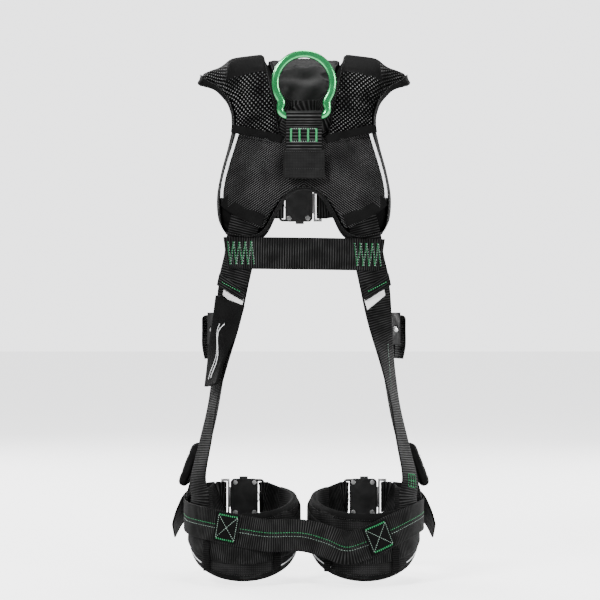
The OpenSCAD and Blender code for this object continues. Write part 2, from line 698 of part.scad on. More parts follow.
tongue_slot_end = tongue_head_u + 3 + slot_h;
base_slot_start = -buckle_l / 2 + web_bar;
function tongue_wrap(which, run) = round_bar(which, tongue_slot_end + 0.5, plate_t + cavity / 2,
    tongue_t / 2 + gap + half, 1, run);
function base_wrap(which, run) = round_bar(which, base_slot_start - 0.4, plate_t / 2,
    plate_t / 2 + gap + half, -1, run);

chest_z = -168;
module chest_strap(side) {
    // From the buckle's bar out to the shoulder strap, lying on it where the two are sewn together.
    from = side == RIGHT ? tongue_wrap("chest", 12) : base_wrap("chest", 10);
    out = cross_off + half;
    route = concat(from, [
        turned_over(on_front(side * 54, chest_z, out)),
        turned_over(on_front(side * 68, chest_z, out)),
        turned_over(on_front(side * 82, chest_z, out)),
        turned_over(on_front(side * 98, chest_z, out)),
    ]);
    color(BLACK) ribbon(route);
}

function leg_side(side) = side == RIGHT ? "right" : "left";

// The part of the leg strap that runs from the housing round the inside and back of the thigh to its outside.
leg_strap_end = -14;
module leg_strap(side) {
    off = strap_off + half;
    round_leg = [for (k = [0 : 20])
        let (phi = blend(230, leg_strap_end, k / 20))
        turned_over(on_thigh(side, phi, off, leg_height(phi)))];
    color(BLACK) ribbon(concat(base_wrap(leg_side(side), 10), round_leg));
}

// The short run between the tongue's bar and the end of the leg strap.
module leg_tongue_strap(side) {
    off = strap_off + half;
    round_leg = [for (phi = [-50, -41, -32, -24, leg_strap_end - 2])
        turned_over(on_thigh(side, phi, off, leg_height(phi)))];
    color(BLACK) ribbon(concat(tongue_wrap(leg_side(side), 12), round_leg));
}

// The loose end of a leg strap, which stands out past the hip.
module leg_strap_tail(side) {
    route = [
        [[side * 130, 104, -600], unit([side * 0.05, 1, 0])],
        [[side * 152, 99, -603], unit([side * 0.4, 0.9, 0])],
        [[side * 170, 84, -612], unit([side * 0.75, 0.65, 0.12])],
        [[side * 182, 66, -628], unit([side * 0.85, 0.45, 0.3])],
        [[side * 190, 52, -648], unit([side * 0.88, 0.3, 0.36])],
    ];
    color(BLACK) ribbon(route, 40);
}

// ---------------------------------------------------------------- pouches, labels and keepers

// A soft box on the outside of a strap: its own axes are across the strap, down the strap and outward.
module soft_box(centre, outward, size, r) {
    w = unit(outward);
    u = unit(cross(Z, w));
    v = cross(w, u);
    multmatrix([
        [u[0], v[0], w[0], centre[0]],
        [u[1], v[1], w[1], centre[1]],
        [u[2], v[2], w[2], centre[2]],
    ]) translate([0, 0, -size[2] / 2]) round_plate(size[0], size[1], r, size[2]);
}

module relief_pouch(side) {
    color(BLACK) soft_box([side * 163.2, 12.5, -548], [side * 0.93, 0.1, 0.36], [50, 66, 15], 8);
}

module label_pouch() {
    route = [
        [[-104, -71.5, -312], unit([-0.5, -0.86, 0])],
        [[-111.5, -62.5, -345], unit([-0.66, -0.75, 0])],
        [[-121.5, -51.5, -380], unit([-0.84, -0.54, 0])],
        [[-127.5, -48, -410], unit([-0.91, -0.4, 0])],
        [[-131.5, -46.5, -432], unit([-0.94, -0.33, 0])],
    ];
    color(BLACK) ribbon(route, 50, 5);
}

module inspection_labels() {
    label_t = 0.3;
    out = unit([0.5, -0.86, 0]);
    color("white") for (side = [LEFT, RIGHT])
        ribbon([
            on_back(side * 96.2, -304.5, strap_off + 0.4),
            [[side * 100.3, -69.3, -310], mirror_x(out, side), 0.8 * yoke_cup],
            [[side * 102.4, -67.9, -314], mirror_x(out, side), 0.6 * yoke_cup],
        ], 22, label_t);
}

// The bands sewn over the leg straps, below the seat strap.
keeper_t = 1.4;
module leg_pad_keepers() {
    color(BLACK) for (k = [[LEFT, 51, -650, -692], [LEFT, 126, -667, -692], [RIGHT, 130, -681, -693], [RIGHT, 58, -659, -694]])
        ribbon([for (z = [k[2], k[3]]) on_thigh(k[0], k[1], cross_off + keeper_t / 2, z)], 12, keeper_t);
}

back_pad();
back_cover();
reflective_strips();
dorsal_panel();
shoulder_pad(LEFT);  // shoulder_pad_left
shoulder_pad(RIGHT);  // shoulder_pad_right
shoulder_cover(LEFT);  // shoulder_cover_left
shoulder_cover(RIGHT);  // shoulder_cover_right
shoulder_strap(LEFT);  // shoulder_strap_left
shoulder_strap(RIGHT);  // shoulder_strap_right
back_strap();
side_strap(LEFT);  // side_strap_left
side_strap(RIGHT);  // side_strap_right
front_strap(LEFT);  // front_strap_left
front_strap(RIGHT);  // front_strap_right
seat_strap();
seat_patches();
dorsal_ring();
dorsal_loop();
keeper_flap();
label_pouch();
inspection_labels();
adjuster_frame(LEFT);  // adjuster_frame_left
adjuster_frame(RIGHT);  // adjuster_frame_right
adjuster_bar(LEFT);  // adjuster_bar_left
adjuster_bar(RIGHT);  // adjuster_bar_right
chest_strap(LEFT);  // chest_strap_left
chest_strap(RIGHT);  // chest_strap_right
buckle_base("chest");  // chest_buckle_base
buckle_cover("chest");  // chest_buckle_cover
buckle_rivets("chest");  // chest_buckle_rivets
latch_spring("chest");  // chest_buckle_spring
tongue("chest");  // chest_tongue
latch("chest", 1);  // chest_latch_upper
latch("chest", -1);  // chest_latch_lower
relief_pouch(LEFT);  // relief_pouch_left
relief_pouch(RIGHT);  // relief_pouch_right
leg_pad(LEFT);  // leg_pad_left
leg_pad(RIGHT);  // leg_pad_right
leg_pad_keepers();
leg_strap(LEFT);  // leg_strap_left
leg_strap(RIGHT);  // leg_strap_right
leg_tongue_strap(LEFT);  // leg_tongue_strap_left
leg_tongue_strap(RIGHT);  // leg_tongue_strap_right
leg_strap_tail(LEFT);  // leg_strap_tail_left
leg_strap_tail(RIGHT);  // leg_strap_tail_right
buckle_base("left");  // leg_buckle_base_left
buckle_cover("left");  // leg_buckle_cover_left
buckle_rivets("left");  // leg_buckle_rivets_left
latch_spring("left");  // leg_buckle_spring_left
tongue("left");  // leg_tongue_left
latch("left", 1);  // leg_latch_upper_left
latch("left", -1);  // leg_latch_lower_left
buckle_base("right");  // leg_buckle_base_right
buckle_cover("right");  // leg_buckle_cover_right
buckle_rivets("right");  // leg_buckle_rivets_right
latch_spring("right");  // leg_buckle_spring_right
tongue("right");  // leg_tongue_right
latch("right", 1);  // leg_latch_upper_right
latch("right", -1);  // leg_latch_lower_right
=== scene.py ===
"""Looks of a full-body climbing harness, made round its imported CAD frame.

Routes and surfaces are worked out in millimetres, as in the CAD, and meshes are stored in metres.
"""

import math

import bmesh
import bpy
import numpy as np
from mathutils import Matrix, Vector


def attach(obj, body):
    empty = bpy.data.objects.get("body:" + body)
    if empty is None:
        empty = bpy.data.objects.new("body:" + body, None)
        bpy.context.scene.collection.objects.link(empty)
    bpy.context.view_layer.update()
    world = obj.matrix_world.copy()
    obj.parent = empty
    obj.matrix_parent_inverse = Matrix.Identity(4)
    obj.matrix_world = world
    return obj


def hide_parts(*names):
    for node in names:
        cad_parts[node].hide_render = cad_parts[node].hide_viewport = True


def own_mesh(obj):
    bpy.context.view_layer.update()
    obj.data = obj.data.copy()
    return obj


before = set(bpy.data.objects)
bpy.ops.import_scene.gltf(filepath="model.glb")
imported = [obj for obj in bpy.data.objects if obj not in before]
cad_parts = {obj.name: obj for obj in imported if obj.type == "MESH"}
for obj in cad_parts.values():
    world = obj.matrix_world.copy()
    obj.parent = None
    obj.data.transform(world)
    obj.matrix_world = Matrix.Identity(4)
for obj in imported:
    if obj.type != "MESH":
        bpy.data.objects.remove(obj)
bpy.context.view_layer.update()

MM = 0.001
LEFT = -1
RIGHT = 1
SIDES = {"left": LEFT, "right": RIGHT}
X, Y, Z = np.eye(3)

WEB_W = 45.0
WEB_T = 2.4
HALF = WEB_T / 2
GAP = 0.4
PLY = WEB_T + GAP
PAD_T = 10.0
STRAP_OFF = PAD_T + 0.6
CROSS_OFF = STRAP_OFF + PLY + 0.2
HIP_OFF = CROSS_OFF + PLY + 0.2

# ---- vectors and splines


def unit(v):
    return v / np.maximum(np.linalg.norm(v, axis=-1, keepdims=True), 1e-9)


def smooth(t):
    c = np.clip(t, 0, 1)
    return c * c * (3 - 2 * c)


def blend(a, b, t):
    return a + (b - a) * t


def span(a, b, c, d, t):
    """A Catmull-Rom step from b to c, at each t from 0 to 1."""
    bend = (2 * a - 5 * b + 4 * c - d) * t**2 + (3 * b - a - 3 * c + d) * t**3
    return 0.5 * (2 * b + (c - a) * t + bend)


def curve(points, u):
    """A Catmull-Rom spline through every point, at each u from 0 to 1."""
    p = np.asarray(points, float)
    n = len(p) - 1
    f = np.clip(np.asarray(u, float), 0, 1) * n
    i = np.minimum(np.floor(f).astype(int), n - 1)
    t = (f - i)[..., None] if p.ndim > 1 else f - i
    return span(p[np.maximum(i - 1, 0)], p[i], p[i + 1], p[np.minimum(i + 2, n)], t)


def run_along(points):
    """How far along a line each of its points is."""
    steps = np.linalg.norm(np.diff(points, axis=0), axis=1)
    return np.r_[0, np.cumsum(steps)]


def along_line(values, at, run):
    """Rows of values looked up where a run reaches each place in at."""
    return np.stack([np.interp(at, run, values[:, k]) for k in range(3)], -1)


# ---- the wearer's surfaces

ARC_RUN = 100.0
BULGE_RUN = 160.0
BACK = {"r": 62.0, "bulge": 14.0, "round": 0.0021}
FRONT = {"r": 66.0, "bulge": 22.0, "round": 0.0012}
THIGH_X = 85.5
THIGH_Y = -5.0
THIGH_WIDE = 68.0
THIGH_DEEP = 78.0


def ridge(x):
    return 16 - 3.9e-8 * x**4 + 9 * np.exp(-((x / 50) ** 2))


def yoke_point(x, s):
    """The torso: x across, and s along a line over the shoulder, negative down the back."""
    x, s = np.broadcast_arrays(np.asarray(x, float), np.asarray(s, float))
    back = s < 0
    r, bulge, rounding = (np.where(back, BACK[k], FRONT[k]) for k in ("r", "bulge", "round"))
    phi = np.radians(90 * np.minimum(abs(s), ARC_RUN) / ARC_RUN)
    run = np.maximum(abs(s) - ARC_RUN, 0)
    out = bulge * (1 - np.cos(np.pi * np.minimum(run, BULGE_RUN) / BULGE_RUN)) / 2
    y = r * np.sin(phi) + out - rounding * x * x * smooth(abs(s) / 80)
    return np.stack([x, np.where(back, -y, y), r * (np.cos(phi) - 1) - run + ridge(x)], -1)


def yoke_normal(x, s):
    du = yoke_point(x + 1, s) - yoke_point(x - 1, s)
    dv = yoke_point(x, s + 1) - yoke_point(x, s - 1)
    return unit(np.cross(du, dv))


def yoke(x, s, off):
    return yoke_point(x, s) + np.asarray(off, float)[..., None] * yoke_normal(x, s)


def back_s(x, z):
    return z - ridge(x) + BACK["r"] - ARC_RUN


def front_s(x, z):
    return ridge(x) - z - FRONT["r"] + ARC_RUN


def on_yoke(x, s, off, cup=1.1):
    return yoke(x, s, off), yoke_normal(x, s), cup


def on_back(x, z, off):
    return on_yoke(x, back_s(x, z), off)


def on_front(x, z, off):
    return on_yoke(x, front_s(x, z), off)


def turned_over(at):
    return at[0], -at[1], 0


def free(x, y, z, normal, cup=0):
    return np.array([x, y, z], float), unit(np.array(normal, float)), cup


def thigh(side, phi, off, z):
    """A point round a thigh, phi degrees backward from its outer side."""
    phi, off, z = np.broadcast_arrays(*(np.asarray(v, float) for v in (phi, off, z)))
    a = np.radians(phi)
    x = THIGH_X + (THIGH_WIDE + off) * np.cos(a)
    return np.stack([side * x, THIGH_Y - (THIGH_DEEP + off) * np.sin(a), z], -1)


def on_thigh(side, phi, off, z, cup=0):
    a = math.radians(phi)
    normal = unit(np.array([side * math.cos(a) * THIGH_DEEP, -math.sin(a) * THIGH_WIDE, 0]))
    return thigh(side, phi, off, z), normal, cup


def leg_height(phi):
    return -630 - 28 * np.sin(np.radians(phi))


# ---- meshes


def linked(obj):
    """obj, now in the scene."""
    bpy.context.scene.collection.objects.link(obj)
    return obj


def new_object(name, verts, faces, material, uvs=None):
    """An object from points in mm, with one UV pair for every corner of every face, in mm too."""
    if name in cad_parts:
        name += "_formed"
    mesh = bpy.data.meshes.new(name)
    mesh.from_pydata((np.asarray(verts, float) * MM).tolist(), [], faces)
    if uvs is not None:
        layer = mesh.uv_layers.new(name="UVMap")
        layer.data.foreach_set("uv", np.asarray(uvs, np.float32).ravel())
    for m in material if isinstance(material, (list, tuple)) else [material]:
        mesh.materials.append(m)
    mesh.polygons.foreach_set("use_smooth", [True] * len(mesh.polygons))
    mesh.update()
    obj = bpy.data.objects.new(name, mesh)
    linked(obj)
    outward(obj)
    return obj


def outward(obj):
    shape = bmesh.new()
    shape.from_mesh(obj.data)
    bmesh.ops.recalc_face_normals(shape, faces=shape.faces)
    shape.to_mesh(obj.data)
    shape.free()


def grid_faces(rows, cols, first=0, closed=False):
    """Quads over a grid of points, row by row; closed joins the last column to the first."""
    quads = []
    for i in range(rows - 1):
        for j in range(cols if closed else cols - 1):
            k = (j + 1) % cols
            a = first + i * cols
            quads.append((a + j, a + k, a + cols + k, a + cols + j))
    return quads


def fine_path(path, step):
    """The path through every entry of a shorter one, about step apart."""
    cols = np.array([np.r_[place, normal, cup] for place, normal, cup in path], float)
    n = len(cols)
    out = []
    for i in range(n - 1):
        k = max(1, round(np.linalg.norm(cols[i + 1, :3] - cols[i, :3]) / step))
        t = np.arange(k + (i == n - 2)) / k
        p = [cols[max(i - 1, 0)], cols[i], cols[i + 1], cols[min(i + 2, n - 1)]]
        out.append(span(*p, t[:, None]))
    return np.concatenate(out)


class Strap:
    """A strip of cloth along a path, which can be sewn on."""

    EDGE = ((-1, -0.3), (-1, 0.35), (-0.975, 0.85), (-0.93, 1))
    MIDDLE = (-0.7, -0.35, 0, 0.35, 0.7)

    def __init__(self, path, width=WEB_W, thick=WEB_T, step=3.0, wave=0.35):
        rows = fine_path(path, step)
        self.centre, self.cup = rows[:, :3], rows[:, 6]
        self.width, self.thick = width, thick
        along = unit(np.gradient(self.centre, axis=0))
        self.across = unit(np.cross(along, rows[:, 3:6]))
        self.up = unit(np.cross(self.across, along))
        self.run = run_along(self.centre)
        self.length = self.run[-1]
        self.wave = wave * np.sin(self.run / 17) * np.sin(self.run / 41 + 1)

    def profile(self):
        top = [*self.EDGE, *[(c, 1) for c in self.MIDDLE], *[(-c, h) for c, h in reversed(self.EDGE)]]
        return np.array([*top, *[(-c, -1) for c in (-0.93, *self.MIDDLE, 0.93)]])

    def mesh(self, name, material, taper=None):
        """taper gives each end's slant: how far its +1 edge runs on past its middle, in mm."""
        shape = self.profile()
        c, h = shape[:, 0], shape[:, 1]
        lift = h[None, :] * self.thick / 2 + self.wave[:, None] * np.cos(c * 2)[None, :]
        lift = lift - (c**2)[None, :] * self.cup[:, None]
        grid = (
            self.centre[:, None, :]
            + (c * self.width / 2)[None, :, None] * self.across[:, None, :]
            + lift[..., None] * self.up[:, None, :]
        )
        if taper:
            along = unit(np.gradient(self.centre, axis=0))
            for end, slant in zip((0, -1), taper):
                fade = np.clip(1 - abs(self.run - self.run[end]) / 24, 0, 1)
                grid += ((c[None, :] * slant) * fade[:, None])[..., None] * along[:, None, :]
        rows, cols = grid.shape[:2]
        around = run_along(shape * [self.width / 2, self.thick / 2])
        around = np.r_[around, around[-1] + self.thick]
        faces = grid_faces(rows, cols, closed=True)
        uvs = []
        for i in range(rows - 1):
            for j in range(cols):
                for a, b in ((i, j), (i, j + 1), (i + 1, j + 1), (i + 1, j)):
                    uvs.append((self.run[a], around[b]))
        for row, order in ((0, range(cols)), (rows - 1, reversed(range(cols)))):
            order = list(order)
            faces.append(tuple(row * cols + j for j in order))
            uvs += [(self.run[row], around[j]) for j in order]
        return new_object(name, grid.reshape(-1, 3), faces, material, uvs)

    def place(self, u, v, lift=0.0):
        """The point u along the strap and v across it from its middle, lift above its face."""
        u, v = np.broadcast_arrays(np.asarray(u, float), np.asarray(v, float))
        centre, across, up = (along_line(way, u, self.run) for way in (self.centre, self.across, self.up))
        c = v / (self.width / 2)
        cup = np.interp(u, self.run, self.cup)
        wave = np.interp(u, self.run, self.wave) * np.cos(c * 2)
        height = lift + self.thick / 2 - c**2 * cup + wave
        return centre + v[..., None] * across + height[..., None] * up


def ends_of(points, pitch):
    """Where stitches of that pitch start and stop along a line of points."""
    p = np.asarray(points, float)
    run = run_along(p)
    count = max(1, int(run[-1] / pitch))
    start = np.arange(count) * run[-1] / count
    return [along_line(p, start + share * pitch, run) for share in (0.12, 0.88)]


def stitches(name, lines, material, thread, pitch):
    """Sewn stitches along lines of points: each is a small grain of thread, pointed at both ends."""
    verts, faces = [], []
    ring = 4
    for line in lines:
        for a, b in zip(*ends_of(line, pitch)):
            along = unit(b - a)
            side = unit(np.cross(along, Z + 0.3 * Y))
            out = np.cross(side, along)
            first = len(verts)
            verts.append(a)
            for t, r in ((0.25, 0.8), (0.5, 1), (0.75, 0.8)):
                for k in range(ring):
                    q = 2 * math.pi * k / ring
                    way = math.cos(q) * side + math.sin(q) * out
                    verts.append(a + (b - a) * t + thread / 2 * r * way)
            verts.append(b)
            last = len(verts) - 1
            for k in range(ring):
                n = (k + 1) % ring
                faces.append((first, first + 1 + n, first + 1 + k))
                for row in (0, ring):
                    faces.append(tuple(first + 1 + row + i for i in (k, n, ring + n, ring + k)))
                faces.append((first + 1 + 2 * ring + k, first + 1 + 2 * ring + n, last))
    return new_object(name, verts, faces, material)


# ---- materials


class Look:
    """A procedural material, built up one node at a time."""

    def __init__(self, name, rough=0.6, metal=0.0, specular=0.5):
        self.mat = bpy.data.materials.new(name)
        self.mat.use_nodes = True
        self.nodes = self.mat.node_tree.nodes
        self.links = self.mat.node_tree.links
        self.shader = next(n for n in self.nodes if n.type == "BSDF_PRINCIPLED")
        self.shader.inputs["Roughness"].default_value = rough
        self.shader.inputs["Metallic"].default_value = metal
        self.shader.inputs["Specular IOR Level"].default_value = specular

    def put(self, socket, value):
        if isinstance(value, bpy.types.NodeSocket):
            self.links.new(value, socket)
        else:
            socket.default_value = value

    def math(self, operation, a, b=0.0, c=0.0):
        node = self.nodes.new("ShaderNodeMath")
        node.operation = operation
        for socket, value in zip(node.inputs, (a, b, c)):
            self.put(socket, value)
        return node.outputs[0]

    def times(self, a, b):
        return self.math("MULTIPLY", a, b)

    def scaled(self, value, gain, base):
        return self.math("MULTIPLY_ADD", value, gain, base)

    def uv(self):
        """The surface's own coordinates in mm, as two numbers."""
        node = self.nodes.new("ShaderNodeUVMap")
        node.uv_map = "UVMap"
        split = self.nodes.new("ShaderNodeSeparateXYZ")
        self.links.new(node.outputs[0], split.inputs[0])
        return split.outputs[0], split.outputs[1]

    def place(self):
        return self.nodes.new("ShaderNodeTexCoord").outputs["Object"]

    def noise(self, scale, detail=2.0, vector=None, stretch=None):
        """Noise from 0 to 1 over the object's own metres, stretched along its axes if asked."""
        vector = vector or self.place()
        if stretch:
            node = self.nodes.new("ShaderNodeVectorMath")
            node.operation = "MULTIPLY"
            self.links.new(vector, node.inputs[0])
            node.inputs[1].default_value = stretch
            vector = node.outputs[0]
        node = self.nodes.new("ShaderNodeTexNoise")
        node.inputs["Scale"].default_value = scale
        node.inputs["Detail"].default_value = detail
        self.links.new(vector, node.inputs["Vector"])
        return node.outputs[0]

    def wave(self, at, pitch):
        """A wave from 0 to 1 along a number in mm."""
        turn = self.math("SINE", self.times(at, 2 * math.pi / pitch))
        return self.scaled(turn, 0.5, 0.5)

    def weave(self, pitch):
        u, v = self.uv()
        return self.times(self.wave(u, pitch), self.wave(v, pitch))

    def step(self, value, low, high):
        node = self.nodes.new("ShaderNodeMapRange")
        node.interpolation_type = "SMOOTHSTEP"
        for name, v in (("Value", value), ("From Min", low), ("From Max", high)):
            self.put(node.inputs[name], v)
        return node.outputs[0]

    def mix(self, amount, a, b):
        node = self.nodes.new("ShaderNodeMix")
        node.data_type = "RGBA"
        sockets = [s for s in node.inputs if s.type == "RGBA"]
        self.put(node.inputs[0], amount)
        self.put(sockets[0], rgb(a))
        self.put(sockets[1], rgb(b))
        return next(s for s in node.outputs if s.type == "RGBA")

    def colour(self, value):
        self.put(self.shader.inputs["Base Color"], rgb(value))

    def rough(self, value):
        self.put(self.shader.inputs["Roughness"], value)

    def bump(self, height, depth, strength=1.0):
        node = self.nodes.new("ShaderNodeBump")
        node.inputs["Strength"].default_value = strength
        node.inputs["Distance"].default_value = depth
        self.put(node.inputs["Height"], height)
        self.links.new(node.outputs[0], self.shader.inputs["Normal"])


def rgb(value):
    """A colour socket's value: three numbers, or one for a grey."""
    if isinstance(value, bpy.types.NodeSocket):
        return value
    if isinstance(value, (int, float)):
        return (value, value, value, 1)
    return (*value, 1)


def webbing_look(name, pitch=3.5, dark=0.0008, pale=0.042):
    """Webbing with ribs across its length, each a row of crossing yarns, with a painted highlight on each
    rib's crest.
    """
    look = Look(name, rough=0.62, specular=0.05)
    along, over = look.uv()
    rib = look.wave(along, pitch)
    yarn = look.wave(over, 1.3)
    # Painted highlight: the rib crests are painted pale, stronger in some patches than others, and broken
    # up by the yarns.
    wear_and_sheen = look.step(look.noise(55, 3), 0.3, 0.72)
    crest = look.math("POWER", rib, 3.2)
    lit = look.times(crest, look.scaled(wear_and_sheen, 0.75, 0.25))
    look.colour(look.mix(look.times(lit, look.scaled(yarn, 0.35, 0.65)), dark, pale))
    look.rough(look.scaled(rib, -0.15, 0.72))
    look.bump(look.scaled(yarn, 0.25, rib), 0.0006, 0.8)
    return look.mat


def dotted_mesh_look(name, pitch=5.6, pale=0.18):
    """Open black spacer mesh: pale staggered tufts painted on as highlights of the knit ridges, with dark
    holes between them.
    """
    look = Look(name, rough=0.7, specular=0.03)
    u, v = look.uv()
    shift = look.times(look.noise(38, 1), 2.4)
    ku = look.math("COSINE", look.times(look.math("ADD", u, shift), 2 * math.pi / pitch))
    kv = look.math("COSINE", look.times(look.math("ADD", v, shift), 2 * math.pi / pitch))
    lattice = look.times(ku, kv)
    # Painted highlight: the tufts of the knit are painted pale, patchily.
    painted_tuft_highlight = look.step(lattice, 0.42, 0.74)
    patchy = look.step(look.noise(30, 2), 0.36, 0.66)
    fine = look.scaled(look.noise(900, 1), 0.5, 0.6)
    amount = look.times(look.times(painted_tuft_highlight, fine), look.scaled(patchy, 0.82, 0.18))
    look.colour(look.mix(amount, 0.0006, pale))
    look.bump(lattice, 0.0011, 0.9)
    return look.mat


def fine_mesh_look(name, row=3.2, dash=3.0, slope=0.62, pale=0.1):
    """Finer black spacer mesh: rows of short pale dashes, painted on as highlights of the knit, that slope
    up from the middle of the back on both sides.
    """
    look = Look(name, rough=0.66, specular=0.04)
    u, v = look.uv()
    out = look.math("ABSOLUTE", u)
    shift = look.times(look.noise(22, 1), 2.0)
    down = look.math("ADD", look.scaled(out, slope, v), shift)
    along = look.scaled(v, -slope, out)
    rows = look.wave(down, row)
    dashes = look.wave(look.scaled(down, 0.5, along), dash)
    # Painted highlight: the knit's threads are painted pale in dashes, patchily.
    thread = look.times(look.step(rows, 0.55, 1.0), look.scaled(dashes, 0.75, 0.25))
    patchy = look.step(look.noise(20, 2), 0.3, 0.68)
    amount = look.times(thread, look.scaled(patchy, 0.65, 0.35))
    look.colour(look.mix(amount, 0.0006, pale))
    look.bump(look.scaled(dashes, 0.4, rows), 0.0007, 0.8)
    return look.mat


def cloth_look(name, pitch=1.6, dark=0.001, pale=0.006, rough=0.72, depth=0.00035, specular=0.06):
    """Plain woven cloth."""
    look = Look(name, rough=rough, specular=specular)
    weave = look.weave(pitch)
    wear_and_sheen = look.step(look.noise(40, 4), 0.25, 0.8)
    look.colour(look.mix(look.scaled(weave, 0.6, look.times(wear_and_sheen, 0.4)), dark, pale))
    look.bump(look.scaled(wear_and_sheen, 0.8, weave), depth, 0.7)
    return look.mat


def thread_look(name, colour):
    look = Look(name, rough=0.5, specular=0.4)
    twist = look.noise(1500, 2)
    darker = tuple(c * 0.45 for c in colour)
    look.colour(look.mix(look.step(twist, 0.35, 0.65), darker, colour))
    look.bump(twist, 0.0002, 0.5)
    return look.mat


def anodised_look(name):
    look = Look(name, metal=0.9, specular=0.5)
    cloud = look.noise(60, 3)
    look.colour(look.mix(look.step(cloud, 0.3, 0.7), (0.03, 0.42, 0.12), (0.05, 0.52, 0.17)))
    look.rough(look.scaled(look.noise(80, 2), 0.08, 0.19))
    look.bump(look.noise(60, 1), 0.00002, 0.2)
    look.shader.inputs["Coat Weight"].default_value = 0.9
    look.shader.inputs["Coat Roughness"].default_value = 0.1
    return look.mat


def coated_look(name, colour=0.012, rough=0.38):
    """Black coating over metal or moulded plastic, with a faint grain."""
    look = Look(name, specular=0.28)
    grain = look.noise(1300, 3)
    look.colour(look.mix(look.step(look.noise(90, 3), 0.35, 0.75), colour, colour * 1.9))
    look.rough(look.scaled(grain, 0.2, rough - 0.1))
    look.bump(grain, 0.00008, 0.5)
    return look.mat


def steel_look(name):
    look = Look(name, metal=1.0)
    brushed = look.noise(300, 4, stretch=(1, 1, 14))
    look.colour(look.mix(brushed, 0.3, 0.55))
    look.rough(look.scaled(brushed, 0.25, 0.22))
    look.bump(brushed, 0.00004, 0.35)
    return look.mat


def tape_look(name):
    """Reflective tape: a fine lattice of glass beads under a pale grey film."""
    look = Look(name, rough=0.35, specular=0.6)
    beads = look.weave(1.2)
    look.colour(look.mix(beads, (0.66, 0.67, 0.68), (0.86, 0.87, 0.88)))
    look.bump(beads, 0.0001, 0.4)
    return look.mat


def label_look(name):
    look = Look(name, rough=0.6, specular=0.3)
    weave = look.weave(0.9)
    look.colour(look.mix(weave, 0.68, 0.84))
    look.bump(weave, 0.0001, 0.4)
    return look.mat


def floor_look(name):
    """Pale paper that the camera sees as bright as the wall behind it."""
    look = Look(name, rough=0.85, specular=0.15)
    look.colour(look.mix(look.noise(3, 2), 0.84, 0.88))
    seen = look.nodes.new("ShaderNodeLightPath").outputs["Is Camera Ray"]
    look.shader.inputs["Emission Color"].default_value = WALL
    look.put(look.shader.inputs["Emission Strength"], look.times(seen, 2.2))
    return look.mat


WEBBING = webbing_look("ribbed_webbing")
SEAT_WEBBING = webbing_look("seat_webbing", pitch=3.0, dark=0.0012, pale=0.045)
DARK_WEBBING = webbing_look("dark_webbing", pitch=3.0, dark=0.0008, pale=0.014)
DOTTED_MESH = dotted_mesh_look("open_mesh")
FINE_MESH = fine_mesh_look("fine_mesh")
BINDING = cloth_look("binding_tape", pitch=1.2, dark=0.001, pale=0.006)
PLAIN_CLOTH = cloth_look("plain_cloth", pitch=1.8, dark=0.0005, pale=0.0035)
CREASED_CLOTH = cloth_look("creased_cloth", dark=0.0008, pale=0.006, rough=0.5, specular=0.13)
LOOP_WEBBING = webbing_look("loop_webbing", pitch=4.6, dark=0.0012, pale=0.075)
FLAP_CLOTH = cloth_look("flap_cloth", pitch=2.2, dark=0.0015, pale=0.02)
LEG_CLOTH = cloth_look("leg_pad_cloth", pitch=3.0, dark=0.0006, pale=0.026, depth=0.0007)
POUCH_CLOTH = cloth_look("pouch_cloth", pitch=2.0, dark=0.0008, pale=0.006)
GREEN_THREAD = thread_look("green_thread", (0.03, 0.42, 0.14))
PALE_THREAD = thread_look("pale_thread", (0.36, 0.5, 0.42))
DARK_THREAD = thread_look("dark_thread", (0.012, 0.012, 0.012))
GREEN_METAL = anodised_look("green_anodised")
BLACK_PLATE = coated_look("black_plate", colour=0.006)
LATCH_PLASTIC = coated_look("latch_plastic", colour=0.01, rough=0.5)
BARE_STEEL = steel_look("bare_steel")
REFLECTIVE = tape_look("reflective_tape")
LABEL = label_look("woven_label")


def part(obj, slot="webbing", body="harness"):
    """obj rides on a body and stands for the CAD node that it is named after. Its slot is not used."""
    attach(obj, body)
    node = obj.name.removesuffix("_formed").removesuffix("_eased")
    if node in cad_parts:
        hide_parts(node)
    return obj


def lay(name, strap, material=WEBBING, slot="webbing", taper=None):
    return part(strap.mesh(name, material, taper), slot)


def sew(name, lines, material=GREEN_THREAD, thread=0.8, pitch=3.4, slot="webbing"):
    return part(stitches(name, lines, material, thread, pitch), slot)


def piping(name, line, radius, sides=8):
    """White piping along a line of points, a little flattened."""
    p = np.asarray(line, float)
    along = unit(np.gradient(p, axis=0))
    side = unit(np.cross(along, Y + 0.2 * X))
    out = np.cross(side, along)
    a = 2 * np.pi * np.arange(sides) / sides
    round_it = np.cos(a)[None, :, None] * side[:, None] + 0.6 * np.sin(a)[None, :, None] * out[:, None]
    faces = grid_faces(len(p), sides, closed=True)
    faces += [tuple(range(sides)), tuple((len(p) - 1) * sides + k for k in reversed(range(sides)))]
    grid = p[:, None] + radius * round_it
    return part(new_object(name, grid.reshape(-1, 3), faces, REFLECTIVE), "reflective")


# ---- pads


